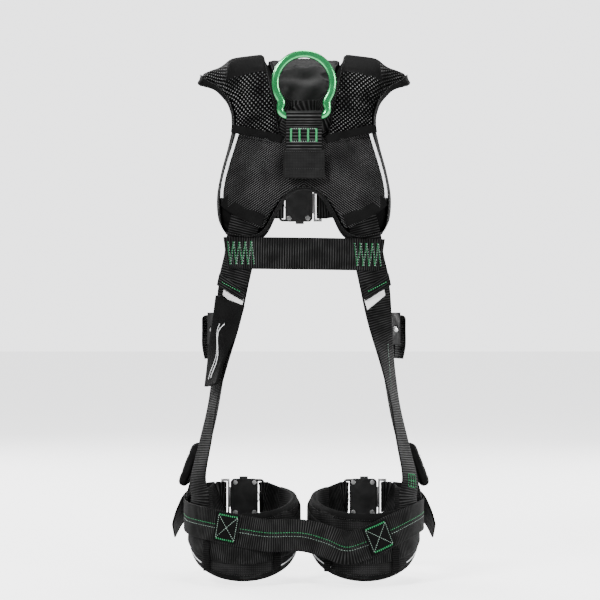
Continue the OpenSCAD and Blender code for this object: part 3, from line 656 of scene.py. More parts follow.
class Pad:
    """A sheet over four plan curves that meet at their corners, laid on a surface of the wearer."""

    def __init__(self, top, bottom, left, right, surface, scale=1.0):
        self.edges = [np.asarray(e, float) for e in (top, bottom, left, right)]
        self.surface, self.scale = surface, scale
        t = np.linspace(0, 1, 33)
        fine = np.linspace(0, 1, 25)
        tall = self.at(t[:, None], fine[None, :], 5.0)
        wide = self.at(fine[None, :], t[:, None], 5.0)
        self.t = t
        self.tall = np.linalg.norm(np.diff(tall, axis=1), axis=2).sum(1)
        self.wide = np.linalg.norm(np.diff(wide, axis=1), axis=2).sum(1)

    def plan(self, u, v):
        u, v = np.broadcast_arrays(np.asarray(u, float), np.asarray(v, float))
        top, bottom, left, right = self.edges
        a, b = u[..., None], v[..., None]
        corners = blend(blend(top[0], top[-1], a), blend(bottom[0], bottom[-1], a), b)
        down = blend(curve(top, u), curve(bottom, u), b)
        over = blend(curve(left, v), curve(right, v), a)
        return down + over - corners

    def at(self, u, v, off):
        p = self.plan(u, v)
        return self.surface(p[..., 0], p[..., 1], off)

    def size(self, u, v):
        """How tall and how wide the pad is there, in mm."""
        return np.interp(u, self.t, self.tall), np.interp(v, self.t, self.wide)

    def rim_distance(self, u, v):
        tall, wide = self.size(u, v)
        return np.minimum(np.minimum(u, 1 - u) * wide, np.minimum(v, 1 - v) * tall)

    def shrunk(self, u, v, d):
        """The place d inside the rim nearest to (u, v)."""
        tall, wide = self.size(u, v)
        return np.clip(u, d / wide, 1 - d / wide), np.clip(v, d / tall, 1 - d / tall)


def gathered(count):
    """Numbers from 0 to 1, closer together near both ends."""
    t = np.linspace(0, 1, count)
    return t - 0.6 * np.sin(2 * np.pi * t) / (2 * np.pi)


def pad_object(name, pad, top_of, under, material, cols, rows, pick=None):
    """A closed pad. top_of gives the height of its outer face at (u, v) and under that of its inner one.

    Returns it with the numbers of the points that stay put when it is puffed up.
    """
    u, v = (g.ravel() for g in np.meshgrid(gathered(cols), gathered(rows)))
    plan = pad.plan(u, v) * [pad.scale, 1]
    outer = pad.at(u, v, top_of(u, v))
    inner = pad.at(u, v, under(u, v) if callable(under) else under)
    n = rows * cols
    right = np.arange(2, rows) * cols - 1
    left = np.arange(rows - 2, 0, -1) * cols
    rim = np.r_[np.arange(cols), right, n - 1 - np.arange(cols), left]
    wall = (outer[rim] + inner[rim]) / 2
    verts = np.concatenate([outer, inner, wall])
    faces = grid_faces(rows, cols) + [tuple(reversed(f)) for f in grid_faces(rows, cols, first=n)]
    count = len(rim)
    for i in range(count):
        k = (i + 1) % count
        faces.append((rim[i], rim[k], 2 * n + k, 2 * n + i))
        faces.append((2 * n + i, 2 * n + k, n + rim[k], n + rim[i]))
    plans = np.concatenate([plan, plan, plan[rim]])
    corners = np.concatenate([np.asarray(f) for f in faces])
    obj = new_object(name, verts, [tuple(int(i) for i in f) for f in faces], material, plans[corners])
    if pick:
        for poly in obj.data.polygons:
            poly.material_index = pick(plans[list(poly.vertices)].mean(0))
    inner_held = (pad.rim_distance(u, v) < 3.5).nonzero()[0]
    held = np.concatenate([inner_held, np.arange(n, len(verts))])
    return obj, held


def puff(obj, held, pressure=4.0, cap=1.8, slack=0.02, frames=20):
    """Blows a pad up a little and lets its cloth pucker, with its underside and its rim held."""
    group = obj.vertex_groups.new(name="held")
    group.add([int(i) for i in held], 1.0, "REPLACE")
    cloth = obj.modifiers.new("cloth", "CLOTH")
    settings = cloth.settings
    settings.quality = 6
    settings.mass = 0.25
    settings.tension_stiffness = 12
    settings.compression_stiffness = 12
    settings.bending_stiffness = 0.4
    settings.use_pressure = True
    settings.uniform_pressure_force = pressure
    settings.vertex_group_mass = "held"
    settings.shrink_min = -slack
    settings.effector_weights.gravity = 0
    cloth.point_cache.frame_start = 1
    cloth.point_cache.frame_end = frames
    scene = bpy.context.scene
    for number in range(1, frames + 1):
        scene.frame_set(number)
    shown = obj.evaluated_get(bpy.context.evaluated_depsgraph_get())
    count = len(obj.data.vertices)
    before = np.empty(count * 3)
    after = np.empty(count * 3)
    obj.data.vertices.foreach_get("co", before)
    shown.data.vertices.foreach_get("co", after)
    move = (after - before).reshape(-1, 3)
    length = np.linalg.norm(move, axis=1, keepdims=True)
    limit = cap * MM
    move *= np.minimum(1, limit / np.maximum(length, 1e-9)) * (1 - 0.15 * np.minimum(1, length / limit))
    obj.modifiers.remove(cloth)
    obj.vertex_groups.remove(group)
    obj.data.vertices.foreach_set("co", (before.reshape(-1, 3) + move).ravel())
    obj.data.update()
    scene.frame_set(1)
    return obj


def cushion(name, pad, top_of, under, material, cols, rows, slot, fill, pick=None, **blow):
    """A padded piece: its two faces, its grid, its slot, how full it is (not used), and how it is puffed
    up.
    """
    obj, held = pad_object(name, pad, top_of, under, material, cols, rows, pick)
    part(puff(obj, held, **blow), slot)


TAPE_LOW = 1.0
TAPE_UNDER = 0.2


def rim_path(pad, count):
    """Points round a pad's rim, as (u, v)."""
    tall, wide = pad.tall.mean(), pad.wide.mean()
    corners = np.cumsum([0, wide, tall, wide, tall])
    t = np.arange(count) / count * corners[-1]
    return np.interp(t, corners, [0, 1, 1, 0, 0]), np.interp(t, corners, [0, 0, 1, 1, 0])


def binding(name, pad, top_of, width, lift=0.7, count=320):
    """Tape folded over a pad's rim, from its outer face round to its underside."""
    u, v = rim_path(pad, count)
    rows = []
    rim_top = top_of(*pad.shrunk(u, v, 3))
    for d in (width, width - 0.6, width * 0.6, 3.2):
        a, b = pad.shrunk(u, v, d)
        raised = lift * (0.1 if d == width else 1)
        rows.append(pad.at(a, b, top_of(a, b) + raised))
    out = rim_outward(pad, u, v)
    for d, share in ((0.6, 0.85), (1.6, 0.5), (1.2, 0.15)):
        rows.append(pad.at(u, v, blend(TAPE_LOW, rim_top, share)) + d * out)
    rows.append(pad.at(*pad.shrunk(u, v, 5), TAPE_UNDER))
    grid = np.stack(rows, 1)
    n, m = grid.shape[:2]
    run = run_along(grid[:, 3])
    faces, uvs = [], []
    for i in range(n):
        k = (i + 1) % n
        for j in range(m - 1):
            faces.append((i * m + j, k * m + j, k * m + j + 1, i * m + j + 1))
            after = run[i + 1] if i + 1 < n else run[-1] + 3
            uvs += [(run[i], 3 * j), (after, 3 * j), (after, 3 * j + 3), (run[i], 3 * j + 3)]
    return new_object(name, grid.reshape(-1, 3), faces, BINDING, uvs)


def rim_outward(pad, u, v):
    a, b = pad.shrunk(u, v, 4)
    return unit(pad.at(u, v, 5.0) - pad.at(a, b, 5.0))


def bound(names, pad, top_of, width, inset, slot, **how):
    """A pad's binding, and the line of stitches that holds it, inset from the rim."""
    tape, seam = names
    part(binding(tape, pad, top_of, width, **how), slot)
    a, b = pad.shrunk(*rim_path(pad, 400), inset)
    line = pad.at(a, b, top_of(a, b) + 0.9)
    sew(seam, [np.concatenate([line, line[:1]])], DARK_THREAD, 0.7, 3.6, slot)


# ---- the vest


def plan_points(points):
    """Points given as (x, z) on the back, turned to (x, s)."""
    return [(x, back_s(x, z)) for x, z in points]


def mirrored(points):
    return [(-x, s) for x, s in points]


def both_sides(half):
    """An edge from its left end to its right end, from the right half given from the middle out."""
    return [(-x, z) for x, z in reversed(half)] + half[(1 if half[0][0] == 0 else 0):]


PAD_SIDE = plan_points([(99.5, -72), (106, -100), (114, -130), (120, -165), (118, -197), (108, -217)])
COVER_SIDE = plan_points([(92, -68), (100, -102), (109, -138), (113, -162), (111, -178)])
PAD_LOW = [(0, -157), (22, -165), (38, -190), (52, -217), (68, -226), (88, -223), (108, -217)]
COVER_LOW = [(0, -153), (24, -163), (42, -186), (55, -209), (72, -203), (92, -192), (111, -178)]
BACK_PAD = Pad(
    plan_points(both_sides([(0, -94), (27, -89), (60, -80), (99.5, -72)])),
    plan_points(both_sides(PAD_LOW)),
    mirrored(PAD_SIDE),
    PAD_SIDE,
    yoke,
)
BACK_COVER = Pad(
    plan_points(both_sides([(0, -88), (27, -84), (60, -75), (92, -68)])),
    plan_points(both_sides(COVER_LOW)),
    mirrored(COVER_SIDE),
    COVER_SIDE,
    yoke,
)
CHEST_END = 176
SHOULDER_OUTER = [
    (99.5, back_s(99.5, -72) + 2), (99.5, -104), (102, -92), (106.5, -80), (114, -67),
    (124, -51), (142, -28), (149, -8), (146, 10), (126, 34),
    (110, 58), (104, 85), (103, 115), (103, 140), (102, CHEST_END),
]
SHOULDER_INNER = [
    (27, back_s(27, -89) + 2), (31, -120), (36, -90), (42, -60), (47, -30), (50, 0),
    (51, 30), (50, 60), (48, 95), (48, 135), (52, CHEST_END),
]
SHOULDER_SEAM = [SHOULDER_INNER[0], (60, back_s(60, -80) + 2), SHOULDER_OUTER[0]]
SHOULDER_HEM = [SHOULDER_INNER[-1], (77, CHEST_END + 7), SHOULDER_OUTER[-1]]
SHOULDER_EDGES = (SHOULDER_SEAM, SHOULDER_HEM, SHOULDER_INNER, SHOULDER_OUTER)
# The middle of a shoulder strap under the mesh, from one shoulder to the other side's lobe, as (x, z).
UNDER_STRAP = [
    (76, 20), (74, 8), (69, -7), (59, -22), (43, -38), (24, -50),
    (0, -57), (-26, -99), (-53, -146), (-74, -186), (-84, -222),
]
ROLL_X = 76


def line_distance(x, z, line):
    best = np.full(np.shape(x), 1e9)
    for (ax, az), (bx, bz) in zip(line, line[1:]):
        t = np.clip(((x - ax) * (bx - ax) + (z - az) * (bz - az)) / ((bx - ax) ** 2 + (bz - az) ** 2), 0, 1)
        best = np.minimum(best, np.hypot(x - ax - t * (bx - ax), z - az - t * (bz - az)))
    return best


def mesh_under(x, s):
    """The inner face of the mesh: low on the pads, and lifted where the straps run under it."""
    z = yoke_point(x, s)[..., 2]
    one, two = (smooth((36 - line_distance(side * x, z, UNDER_STRAP)) / 13) for side in (LEFT, RIGHT))
    return 10.8 + 5.4 * np.maximum(one, two) + 1.9 * one * two


def mesh_top(x, s):
    return mesh_under(x, s) + 2.5


def roll_top(x, s):
    """The mesh's outer face over a shoulder, where it is padded out into a roll."""
    across = smooth((30 - (ROLL_X - abs(x))) / 11) * smooth((46 - (abs(x) - ROLL_X)) / 30)
    roll = across * smooth((s + 88) / 34) * (1 - 0.7 * smooth((s - 110) / 40))
    base = mesh_top(x, s)
    return base + np.maximum(23.0 - base, 0) * roll


def crown(pad, thick, edge=0.45, reach=13):
    """The height of a pad's outer face, which rounds down to a share of its thickness at the rim."""

    def top(u, v):
        d = np.clip(pad.rim_distance(u, v) / reach, 0, 1)
        return thick * (edge + (1 - edge) * np.sqrt(1 - (1 - d) ** 2))

    return top


def on_plan(pad, field):
    """A height field over the plan, brought down towards the rim."""

    def top(u, v):
        p = pad.plan(u, v)
        near = smooth(pad.rim_distance(u, v) / 5)
        return field(p[..., 0], p[..., 1]) - 1.4 * (1 - near)

    return top


def bound_edge(pad, top_of, field):
    """The height under the binding: the pad's at its rim, and the mesh's further in."""

    def top(u, v):
        p = pad.plan(u, v)
        over = smooth((pad.rim_distance(u, v) - 4) / 4)
        return blend(top_of(u, v), field(p[..., 0], p[..., 1]) + 0.2, over)

    return top


def back_panel():
    top = crown(BACK_PAD, 8.6)
    cushion("back_pad", BACK_PAD, top, 0.0, PLAIN_CLOTH, 96, 56, "pad_mesh", 0.8, cap=1.2)
    faces = [on_plan(BACK_COVER, field) for field in (mesh_top, mesh_under)]
    blow = {"pressure": 2.5, "cap": 1.6, "slack": 0.03}
    cushion("back_cover", BACK_COVER, *faces, FINE_MESH, 110, 64, "cover_mesh", 0.5, **blow)
    edge = bound_edge(BACK_PAD, top, mesh_top)
    bound(("back_binding", "back_binding_stitches"), BACK_PAD, edge, 10.0, 8.4, "pad_mesh")
    for name, side in SIDES.items():
        lay("seam_tape_" + name, on_mesh(side, SEAM_RUN, 11, 0.9), BINDING, "pad_mesh")
        lay("hem_tape_" + name, on_mesh(side, HEM_RUN, 17, 0.5, 0.9), BINDING, "pad_mesh")


# Where the tapes over the mesh run, from their outer ends inward, as (x, z).
SEAM_RUN = ((97, -69), (84, -71.5), (70, -75), (56, -79), (42, -83.5), (28, -88))
HEM_RUN = ((108, -171), (94, -181), (80, -189), (66, -195), (53, -200))
STRIP_RUN = ((89, -77), (95, -98), (101.5, -120), (107, -142), (109.5, -158), (110, -168))


def on_mesh(side, run, width, lift, thick=1.0):
    """A tape along the mesh's outer face."""
    route = []
    for x, z in run:
        x, s = side * x, back_s(side * x, z)
        off = mesh_top(np.array(x), np.array(s)) + lift + thick / 2
        route.append((yoke(x, s, off), yoke_normal(x, s), 0.4))
    return Strap(route, width, thick, wave=0.15)


def shoulder(name, side):
    """A shoulder's pad and its mesh, which is smooth cloth where it is padded out into a roll."""

    def pulled_in(points, inward, forward):
        """An edge of the pad, moved in for the mesh."""
        return [(x + side * dx, s + ds) for (x, s), dx, ds in zip(points, inward, forward)]

    edges = [[(side * x, s) for x, s in edge] for edge in SHOULDER_EDGES]
    seam, hem, inner, outer = edges
    pad = Pad(*edges, yoke)
    top = crown(pad, 8.6, edge=0.7)
    cushion("shoulder_pad_" + name, pad, top, 0.0, PLAIN_CLOTH, 44, 130, "pad_mesh", 0.8, cap=1.2)
    cover = Pad(
        pulled_in(seam, (5, 0, -7.5), (3, 3, 3)),
        pulled_in(hem, (6, 0, -7.5), (-9, -9, -9)),
        pulled_in(inner, [5] * len(inner), [3, *[0] * (len(inner) - 2), -9]),
        pulled_in(outer, [-7.5] * len(outer), [3, *[0] * (len(outer) - 2), -9]),
        yoke,
    )
    faces = [on_plan(cover, field) for field in (roll_top, mesh_under)]
    cloths = [DOTTED_MESH, PLAIN_CLOTH]
    blow = {"pressure": 3, "cap": 1.6, "slack": 0.03, "pick": lambda p: int(p[1] > -52 and abs(p[0]) < 104)}
    cushion("shoulder_cover_" + name, cover, *faces, cloths, 60, 150, "cover_mesh", 0.7, **blow)
    names = ("shoulder_binding_" + name, "shoulder_binding_stitches_" + name)
    bound(names, pad, bound_edge(pad, top, mesh_top), 9.0, 7.6, "pad_mesh", count=420)


def dorsal_panel():
    """The gathered cloth behind the ring, with the collar along its top."""
    side = [(50, -18), (46.5, -34), (40, -60), (33.5, -90), (28.5, -118), (22, back_s(22, -90) + 2)]
    low = [(x, back_s(x, -90 - (4 if x == 0 else 0)) + 2) for x in (-22, 0, 22)]
    shape = Pad([(-50, -18), (0, -24), (50, -18)], low, mirrored(side), side, yoke)
    rounded = crown(shape, 1.0, edge=0.45, reach=9)

    def top(u, v):
        slanting = np.sin(21 * v + 7 * u) * np.sin(5 * u + 2 * v + 0.6) ** 2
        level = np.sin(34 * v - 4 * u) * np.sin(3.1 * u) ** 2
        fold = (1.5 * slanting + 0.8 * level) * smooth((v - 0.12) / 0.15)
        return (blend(16.2, 8.0, smooth((v - 0.15) / 0.25)) + fold) * rounded(u, v)

    cushion("dorsal_panel", shape, top, 0.0, CREASED_CLOTH, 70, 110, "pad_mesh", 0.6, slack=0.09)


def reflective_strips():
    strips = [
        lay("reflective_strip_" + name, on_mesh(side, STRIP_RUN, 4.4, 0.9, 0.7), REFLECTIVE, "reflective")
        for name, side in SIDES.items()
    ]
    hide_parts("reflective_strips")


# ---- torso adjusters

ADJUSTER = (119.0, 35.0, -348.0)
BAR_R = 4.6
BAR_DOWN = 6.0
BAR_OUT = BAR_R + GAP + HALF
LOW_BAR_DOWN = 22.0
LOW_BAR_OUT = 3.0
TURN_R = 5.0
TAIL = 48.0


def in_adjuster(side, down, out, turn):
    """A path entry in an adjuster's own plane, turned from outward."""
    normal = np.array([side * 0.96, 0.28, 0])
    origin = np.array([side * ADJUSTER[0], ADJUSTER[1], ADJUSTER[2]])
    a = math.radians(turn)
    return origin - down * Z + out * normal, math.cos(a) * normal - math.sin(a) * Z, 0


def half_turn(side, down, out, r, start, stop, flip, steps=8):
    """Webbing round a bar, from one angle to another."""
    entries = []
    for k in range(steps + 1):
        a = blend(start, stop, k / steps)
        q = math.radians(a)
        entries.append(in_adjuster(side, down + r * math.sin(q), out + r * math.cos(q), a + flip))
    return entries


# ---- straps


def shoulder_strap_route(side):
    lift = PLY if side == RIGHT else 0
    low = STRAP_OFF + HALF
    high = low + lift
    r = BAR_R + GAP + HALF
    over = 2 * r
    crossing = low + lift + (1.5 if side == RIGHT else 0)
    tail = [
        in_adjuster(side, TAIL, over + 2 * TURN_R - 4, 8),
        in_adjuster(side, TAIL * 0.6, over + 2 * TURN_R, 0),
        in_adjuster(side, 4, over + 2 * TURN_R, 0),
    ]
    front = [
        free(side * 110, 61, -292, (side * 0.68, 0.73, 0)),
        free(side * 95, 78, -252, (side * 0.4, 0.9, 0)),
        on_front(side * 81, -218, low),
        on_front(side * 78, -190, low),
    ]
    chest = [on_yoke(side * 76, blend(176, -20, k / 9), low + 0.4) for k in range(10)]
    upper = [
        on_yoke(side * 74, -38, low),
        on_yoke(side * 69, -56, blend(low, crossing, 0.3)),
        on_yoke(side * 59, -76, blend(low, crossing, 0.8)),
        on_yoke(side * 43, -96, crossing),
        on_yoke(side * 24, -113, crossing),
    ]
    lower = [
        on_back(side * x, z, off)
        for x, z, off in (
            (0, -57, crossing), (-26, -99, high), (-53, -146, high), (-74, -186, blend(low, high, 0.5)),
            (-84, -222, low), (-88, -250, low), (-94, -276, low), (-99, -300, low),
        )
    ]
    return [
        *tail,
        *half_turn(side, -9, over + TURN_R, TURN_R, 0, -180, 0),
        *half_turn(side, BAR_DOWN, BAR_OUT, r, 0, 180, 180),
        in_adjuster(side, -14, 0, 0),
        in_adjuster(side, -30, 0.5, -4),
        *front,
        *chest,
        *upper,
        *lower,
    ]


def shoulder_straps():
    for name, side in SIDES.items():
        strap = Strap(shoulder_strap_route(side))
        slant = -5 * side
        lay("shoulder_strap_" + name, strap, taper=(0, slant))
        off = STRAP_OFF + WEB_T + 0.9
        turned_up = [on_back(-side * x, z, off) for x, z in ((96.3, -285), (98, -293), (99.6, -301))]
        fold = Strap(turned_up, 44.4, 1.5, wave=0)
        lay("strap_end_fold_" + name, fold, taper=(slant, slant))
        across = np.linspace(-16, 16, 24)
        line = fold.place(fold.length - 9 + slant * across / 22.5, across, 0.2)
        sew("strap_end_stitches_" + name, [line], thread=1.1)


def zigzag(strap, start, stop, tall, count):
    u = np.linspace(start, stop, count + 1)
    v = np.where(np.arange(count + 1) % 2 == 0, -tall / 2, tall / 2)
    lines = []
    for i in range(count):
        t = np.linspace(0, 1, 8)
        lines.append(strap.place(blend(u[i], u[i + 1], t), blend(v[i], v[i + 1], t), 0.25))
    return lines


def back_strap():
    ends = 104
    route = [on_back(x, -246 - 1.5 * x / ends, CROSS_OFF + 1 + HALF) for x in np.linspace(-ends, ends, 13)]
    strap = Strap(route)
    lay("back_strap", strap, taper=(4, -4))
    for name, start, stop in (("left", 3, 43), ("right", strap.length - 43, strap.length - 3)):
        lines = zigzag(strap, start, stop, 33, 9)
        sew("back_strap_bartack_" + name, lines, thread=0.62, pitch=3.0)
        shifted = zigzag(strap, start + 1.6, stop + 1.2, 33, 9)
        sew("back_strap_bartack_pale_" + name, shifted, PALE_THREAD, thread=0.6, pitch=3.4)


def side_strap_route(side):
    off = STRAP_OFF - PLY - 0.6 + HALF
    return [
        on_back(side * 86, -228, off),
        on_back(side * 89, -252, off),
        on_back(side * 98, -297, off),
        free(side * 108, -58, -345, (side * 0.66, -0.75, 0)),
        free(side * 117.5, -48, -395, (side * 0.88, -0.47, 0)),
        free(side * 128, -43, -450, (side * 0.95, -0.3, 0)),
        free(side * 139, -48, -510, (side * 0.92, -0.4, 0.05)),
        free(side * 150, -58, -560, (side * 0.87, -0.49, 0.08), 1),
        on_thigh(side, 39, CROSS_OFF + HALF - 1, -588, 2.9),
        on_thigh(side, 39, CROSS_OFF + HALF - 0.2, -602, 2.9),
        on_thigh(side, 39, CROSS_OFF + HALF, -620, 2.9),
        on_thigh(side, 39, CROSS_OFF + HALF, -640, 2.9),
    ]


def side_straps():
    for name, side in SIDES.items():
        strap = Strap(side_strap_route(side), wave=0.8)
        lay("side_strap_" + name, strap)
        if side == RIGHT:
            t = np.linspace(0, 1, 30)
            dotted = strap.place(blend(150, 215, t), blend(-9, 9, t), 0.2)
            sew("side_strap_stitches", [dotted], PALE_THREAD, thread=0.6, pitch=4)
            box = [strap.place(blend(338, 356, t), v + 0 * t, 0.2) for v in (-14, -7, 0, 7)]
            box += [strap.place(u + 0 * t, blend(-14, 7, t), 0.2) for u in (338, 347, 356)]
            sew("side_strap_bartack", box, thread=0.9, pitch=3)


def hip_end(side, z, off):
    point, normal, cup = on_thigh(side, -6, off, z, 2.9)
    return point, -normal, -cup


def front_straps():
    r = 2 + GAP + HALF
    for name, side in SIDES.items():
        route = [
            in_adjuster(side, LOW_BAR_DOWN + 24, LOW_BAR_OUT + r - 1.2, 0),
            in_adjuster(side, LOW_BAR_DOWN + 12, LOW_BAR_OUT + r - 0.4, 0),
            *half_turn(side, LOW_BAR_DOWN, LOW_BAR_OUT, r, 0, -180, 0),
            in_adjuster(side, LOW_BAR_DOWN + 12, LOW_BAR_OUT - r, 180),
            in_adjuster(side, LOW_BAR_DOWN + 24, LOW_BAR_OUT - r, 180),
            free(side * 123, 28, -420, (side * -0.97, -0.25, 0)),
            free(side * 133, 19, -480, (side * -0.97, -0.22, 0)),
            free(side * 148, 10, -545, (side * -0.98, -0.15, -0.1), -1),
            hip_end(side, -578, CROSS_OFF + HALF - 4),
            hip_end(side, -592, CROSS_OFF + HALF - 0.6),
            *[hip_end(side, z, CROSS_OFF + HALF) for z in (-606, -624, -642)],
        ]
        strap = Strap(route, wave=0.3)
        lay("front_strap_" + name, strap)


SEAT_LEFT = (-612, -615, -620, -623, -628, -635)
SEAT_RIGHT = (-614, -616, -618, -624, -636, -652)
SEAT_MIDDLE = ((-50, -98.5, -640), (-4, -96.5, -640), (30, -97.5, -648), (58, -99, -658))
# Where each seat patch starts and stops round its thigh in degrees, and its heights there.
PATCHES = {"left": (LEFT, 86, 64, -632, -626), "right": (RIGHT, 88, 66, -649, -635)}


def half_seat(side, heights):
    entries = []
    for k in range(11):
        phi = blend(-28, 92, k / 10)
        off = blend(HIP_OFF + HALF, CROSS_OFF + HALF, float(smooth((phi - 62) / 24)))
        entries.append(on_thigh(side, phi, off, float(curve(heights, k / 10))))
    return entries


def seat_strap():
    middle = [free(*place, -Y) for place in SEAT_MIDDLE]
    strap = Strap([*half_seat(LEFT, SEAT_LEFT), *middle, *reversed(half_seat(RIGHT, SEAT_RIGHT))], wave=0.5)
    lay("seat_strap", strap, SEAT_WEBBING)
    u = np.linspace(60, strap.length - 60, 260)
    drift = 1.2 * np.sin(u / 50)
    lines = [strap.place(u, v + drift, 0.2) for v in (-2.6, 2.6)]
    sew("seat_stitches_green", lines[:1], thread=0.7, pitch=3.8)
    sew("seat_stitches_pale", lines[1:], PALE_THREAD, thread=0.55, pitch=3.8)


def seat_patches():
    """The reinforcing squares that join the seat strap to the leg straps, each sewn round and across."""
    off = HIP_OFF + PLY + 0.6
    for name, (side, start, stop, z0, z1) in PATCHES.items():
        route = [on_thigh(side, blend(start, stop, k / 3), off, blend(z0, z1, k / 3)) for k in range(4)]
        strap = Strap(route, 41, 1.3, wave=0)
        lay("seat_patch_" + name, strap, PLAIN_CLOTH)
        a, b, w = 3.5, strap.length - 3.5, 16.5
        t = np.linspace(0, 1, 16)
        across = [strap.place(blend(a, b, t), v + 0 * t, 0.2) for v in (-w, w)]
        doubled = [strap.place(blend(a, b, t), v + 0 * t, 0.3) for v in (-w - 1.1, w + 1.1)]
        down = [strap.place(u + 0 * t, blend(-w, w, t), 0.2) for u in (a, b)]
        cross = [strap.place(blend(a, b, t), k * blend(-w, w, t), 0.25) for k in (-1, 1)]
        sew("seat_patch_green_" + name, across + doubled, thread=1.0, pitch=2.8)
        sew("seat_patch_pale_" + name, down + cross, PALE_THREAD, thread=0.8, pitch=2.9)
    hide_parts("seat_patches")


# ---- dorsal ring and its loop

RING_CENTRE = np.array([0, -93.5, -7.0])
RING_R = 35.0
RING_BAR = 10.5
RING_T = 10.0
RING_FOOT = 47.0
FOOT_R = 5.0


def ring_line():
    """Half of the ring's bar, from its top to the middle of its foot: x, height, width, roundness."""
    middle = RING_R + RING_BAR / 2
    rows = []
    for a in np.linspace(90, -34, 30):
        q = math.radians(a)
        rows.append((middle * math.cos(q), middle * math.sin(q), RING_BAR, 0.0))
    rows += [
        (31.6, -26.0, 11.6, 0.1),
        (31.6, -29.0, 12.4, 0.2),
        (32.4, -32.0, 11.2, 0.3),
        (33.2, -35.0, 10.8, 0.5),
        (33.0, -38.5, 11.0, 0.8),
        (31.2, -42.6, 10.4, 1.0),
        (28.0, -45.6, 10.0, 1.0),
        (24.0, -RING_FOOT, 10.0, 1.0),
        (12.0, -RING_FOOT, 10.0, 1.0),
        (0.0, -RING_FOOT, 10.0, 1.0),
    ]
    return np.array(rows)


def dorsal_ring():
    """A forged ring: bevelled round the eye, and drawn down to a round foot where the webbing holds it."""
    half = ring_line()
    left = half[1:-1][::-1] * [-1, 1, 1, 1]
    rows = np.concatenate([half, left])
    n = len(rows)
    centre = rows[:, :2]
    along = unit(np.roll(centre, -1, 0) - np.roll(centre, 1, 0))
    out = np.stack([-along[:, 1], along[:, 0]], 1)
    count = 40
    grid = np.zeros((n, count, 3))
    for i in range(n):
        w, rounded = rows[i, 2] / 2, rows[i, 3]
        for k in range(count):
            q = 2 * math.pi * k / count
            c, s = math.cos(q), math.sin(q)
            power = blend(3.6, 2.0, rounded)
            size = (abs(c) ** power + abs(s) ** power) ** (-1 / power)
            a, b = w * size * c, RING_T / 2 * size * s
            flat = centre[i] + a * out[i]
            grid[i, k] = RING_CENTRE + np.array([flat[0], -b, flat[1]])
    faces = grid_faces(n, count, closed=True)
    last = (n - 1) * count
    faces += [(last + k, last + (k + 1) % count, (k + 1) % count, k) for k in range(count)]
    ring = new_object("dorsal_ring", grid.reshape(-1, 3), faces, GREEN_METAL)
    ring.modifiers.new("smooth", "SUBSURF").levels = 1
    apply_modifiers(ring)
    part(ring, "green_anodised", "ring")


LOOP_LOW = -110
LOOP_LEAN = 5.0


def dorsal_loop():
    r = FOOT_R + GAP + 0.2 + HALF
    y0, z0 = RING_CENTRE[1], RING_CENTRE[2] - RING_FOOT
    inner_y = y0 + r + 0.6
    outer_y = inner_y - PLY
    route = [
        free(0, outer_y - LOOP_LEAN, LOOP_LOW, -Y),
        free(0, outer_y - 0.7 * LOOP_LEAN, z0 - 42, -Y),
        free(0, outer_y - 0.8, z0 - 24, -Y),
        free(0, outer_y - 0.4, z0 - 15, -Y),
    ]
    for k in range(11):
        a = math.radians(blend(-28, 192, k / 10))
        route.append(free(0, y0 - r * math.cos(a), z0 + r * math.sin(a), (0, -math.cos(a), math.sin(a))))
    route += [
        free(0, inner_y, z0 - 15, Y),
        free(0, inner_y - 0.4, z0 - 24, Y),
        free(0, inner_y - 0.7 * LOOP_LEAN, z0 - 42, Y),
        free(0, inner_y - LOOP_LEAN, LOOP_LOW, Y),
    ]
    strap = Strap(route, 50, step=2.0, wave=0.2)
    lay("dorsal_loop", strap, LOOP_WEBBING)
    # The ladder of bartacks that closes the loop.
    low, high = strap.run[0] + 21, strap.run[0] + 40
    bars, rails = [], []
    for x in (-18.5, -6.5, 5.5, 17.0):
        for u in np.arange(low, high, 0.85):
            bars.append(strap.place(np.array([u, u]), np.array([x - 2.0, x + 2.0]), 0.35))
    for u in (low, high):
        t = np.linspace(-18.5, 17.0, 20)
        rails.append(strap.place(u + 0 * t, t, 0.3))
    sew("dorsal_bartack", bars, thread=1.15, pitch=5)
    sew("dorsal_bartack_rails", rails, PALE_THREAD, thread=1.1, pitch=3.2)


def keeper_flap():
    """The cloth flap below the ring, with its hem turned up."""
    y = RING_CENTRE[1] + FOOT_R + GAP + 0.8 - LOOP_LEAN - PLY - 2.5
    route = [free(0, y + 0.02 * (z + 101), z, -Y, 0.6) for z in (-101, -110, -120, -130, -141)]
    flap = Strap(route, 58, 1.6, wave=1.0)
    cloth = lay("keeper_flap", flap, FLAP_CLOTH)
    hem = Strap([free(0, y - 0.9, z, -Y, 0.6) for z in (-129, -135, -141.2)], 58.4, 1.2, wave=0.4)
    folded = lay("keeper_flap_hem", hem, FLAP_CLOTH)
    t = np.linspace(-27, 27, 40)
    lines = [flap.place(u + 0 * t, t, 0.3) for u in (2.5, 27.0)]
    sewn = sew("keeper_flap_stitches", lines, DARK_THREAD, thread=0.7, pitch=3)


# ---- hard parts


def apply_modifiers(obj):
    shown = obj.evaluated_get(bpy.context.evaluated_depsgraph_get())
    mesh = bpy.data.meshes.new_from_object(shown)
    obj.modifiers.clear()
    obj.data = mesh
    mesh.name = obj.name


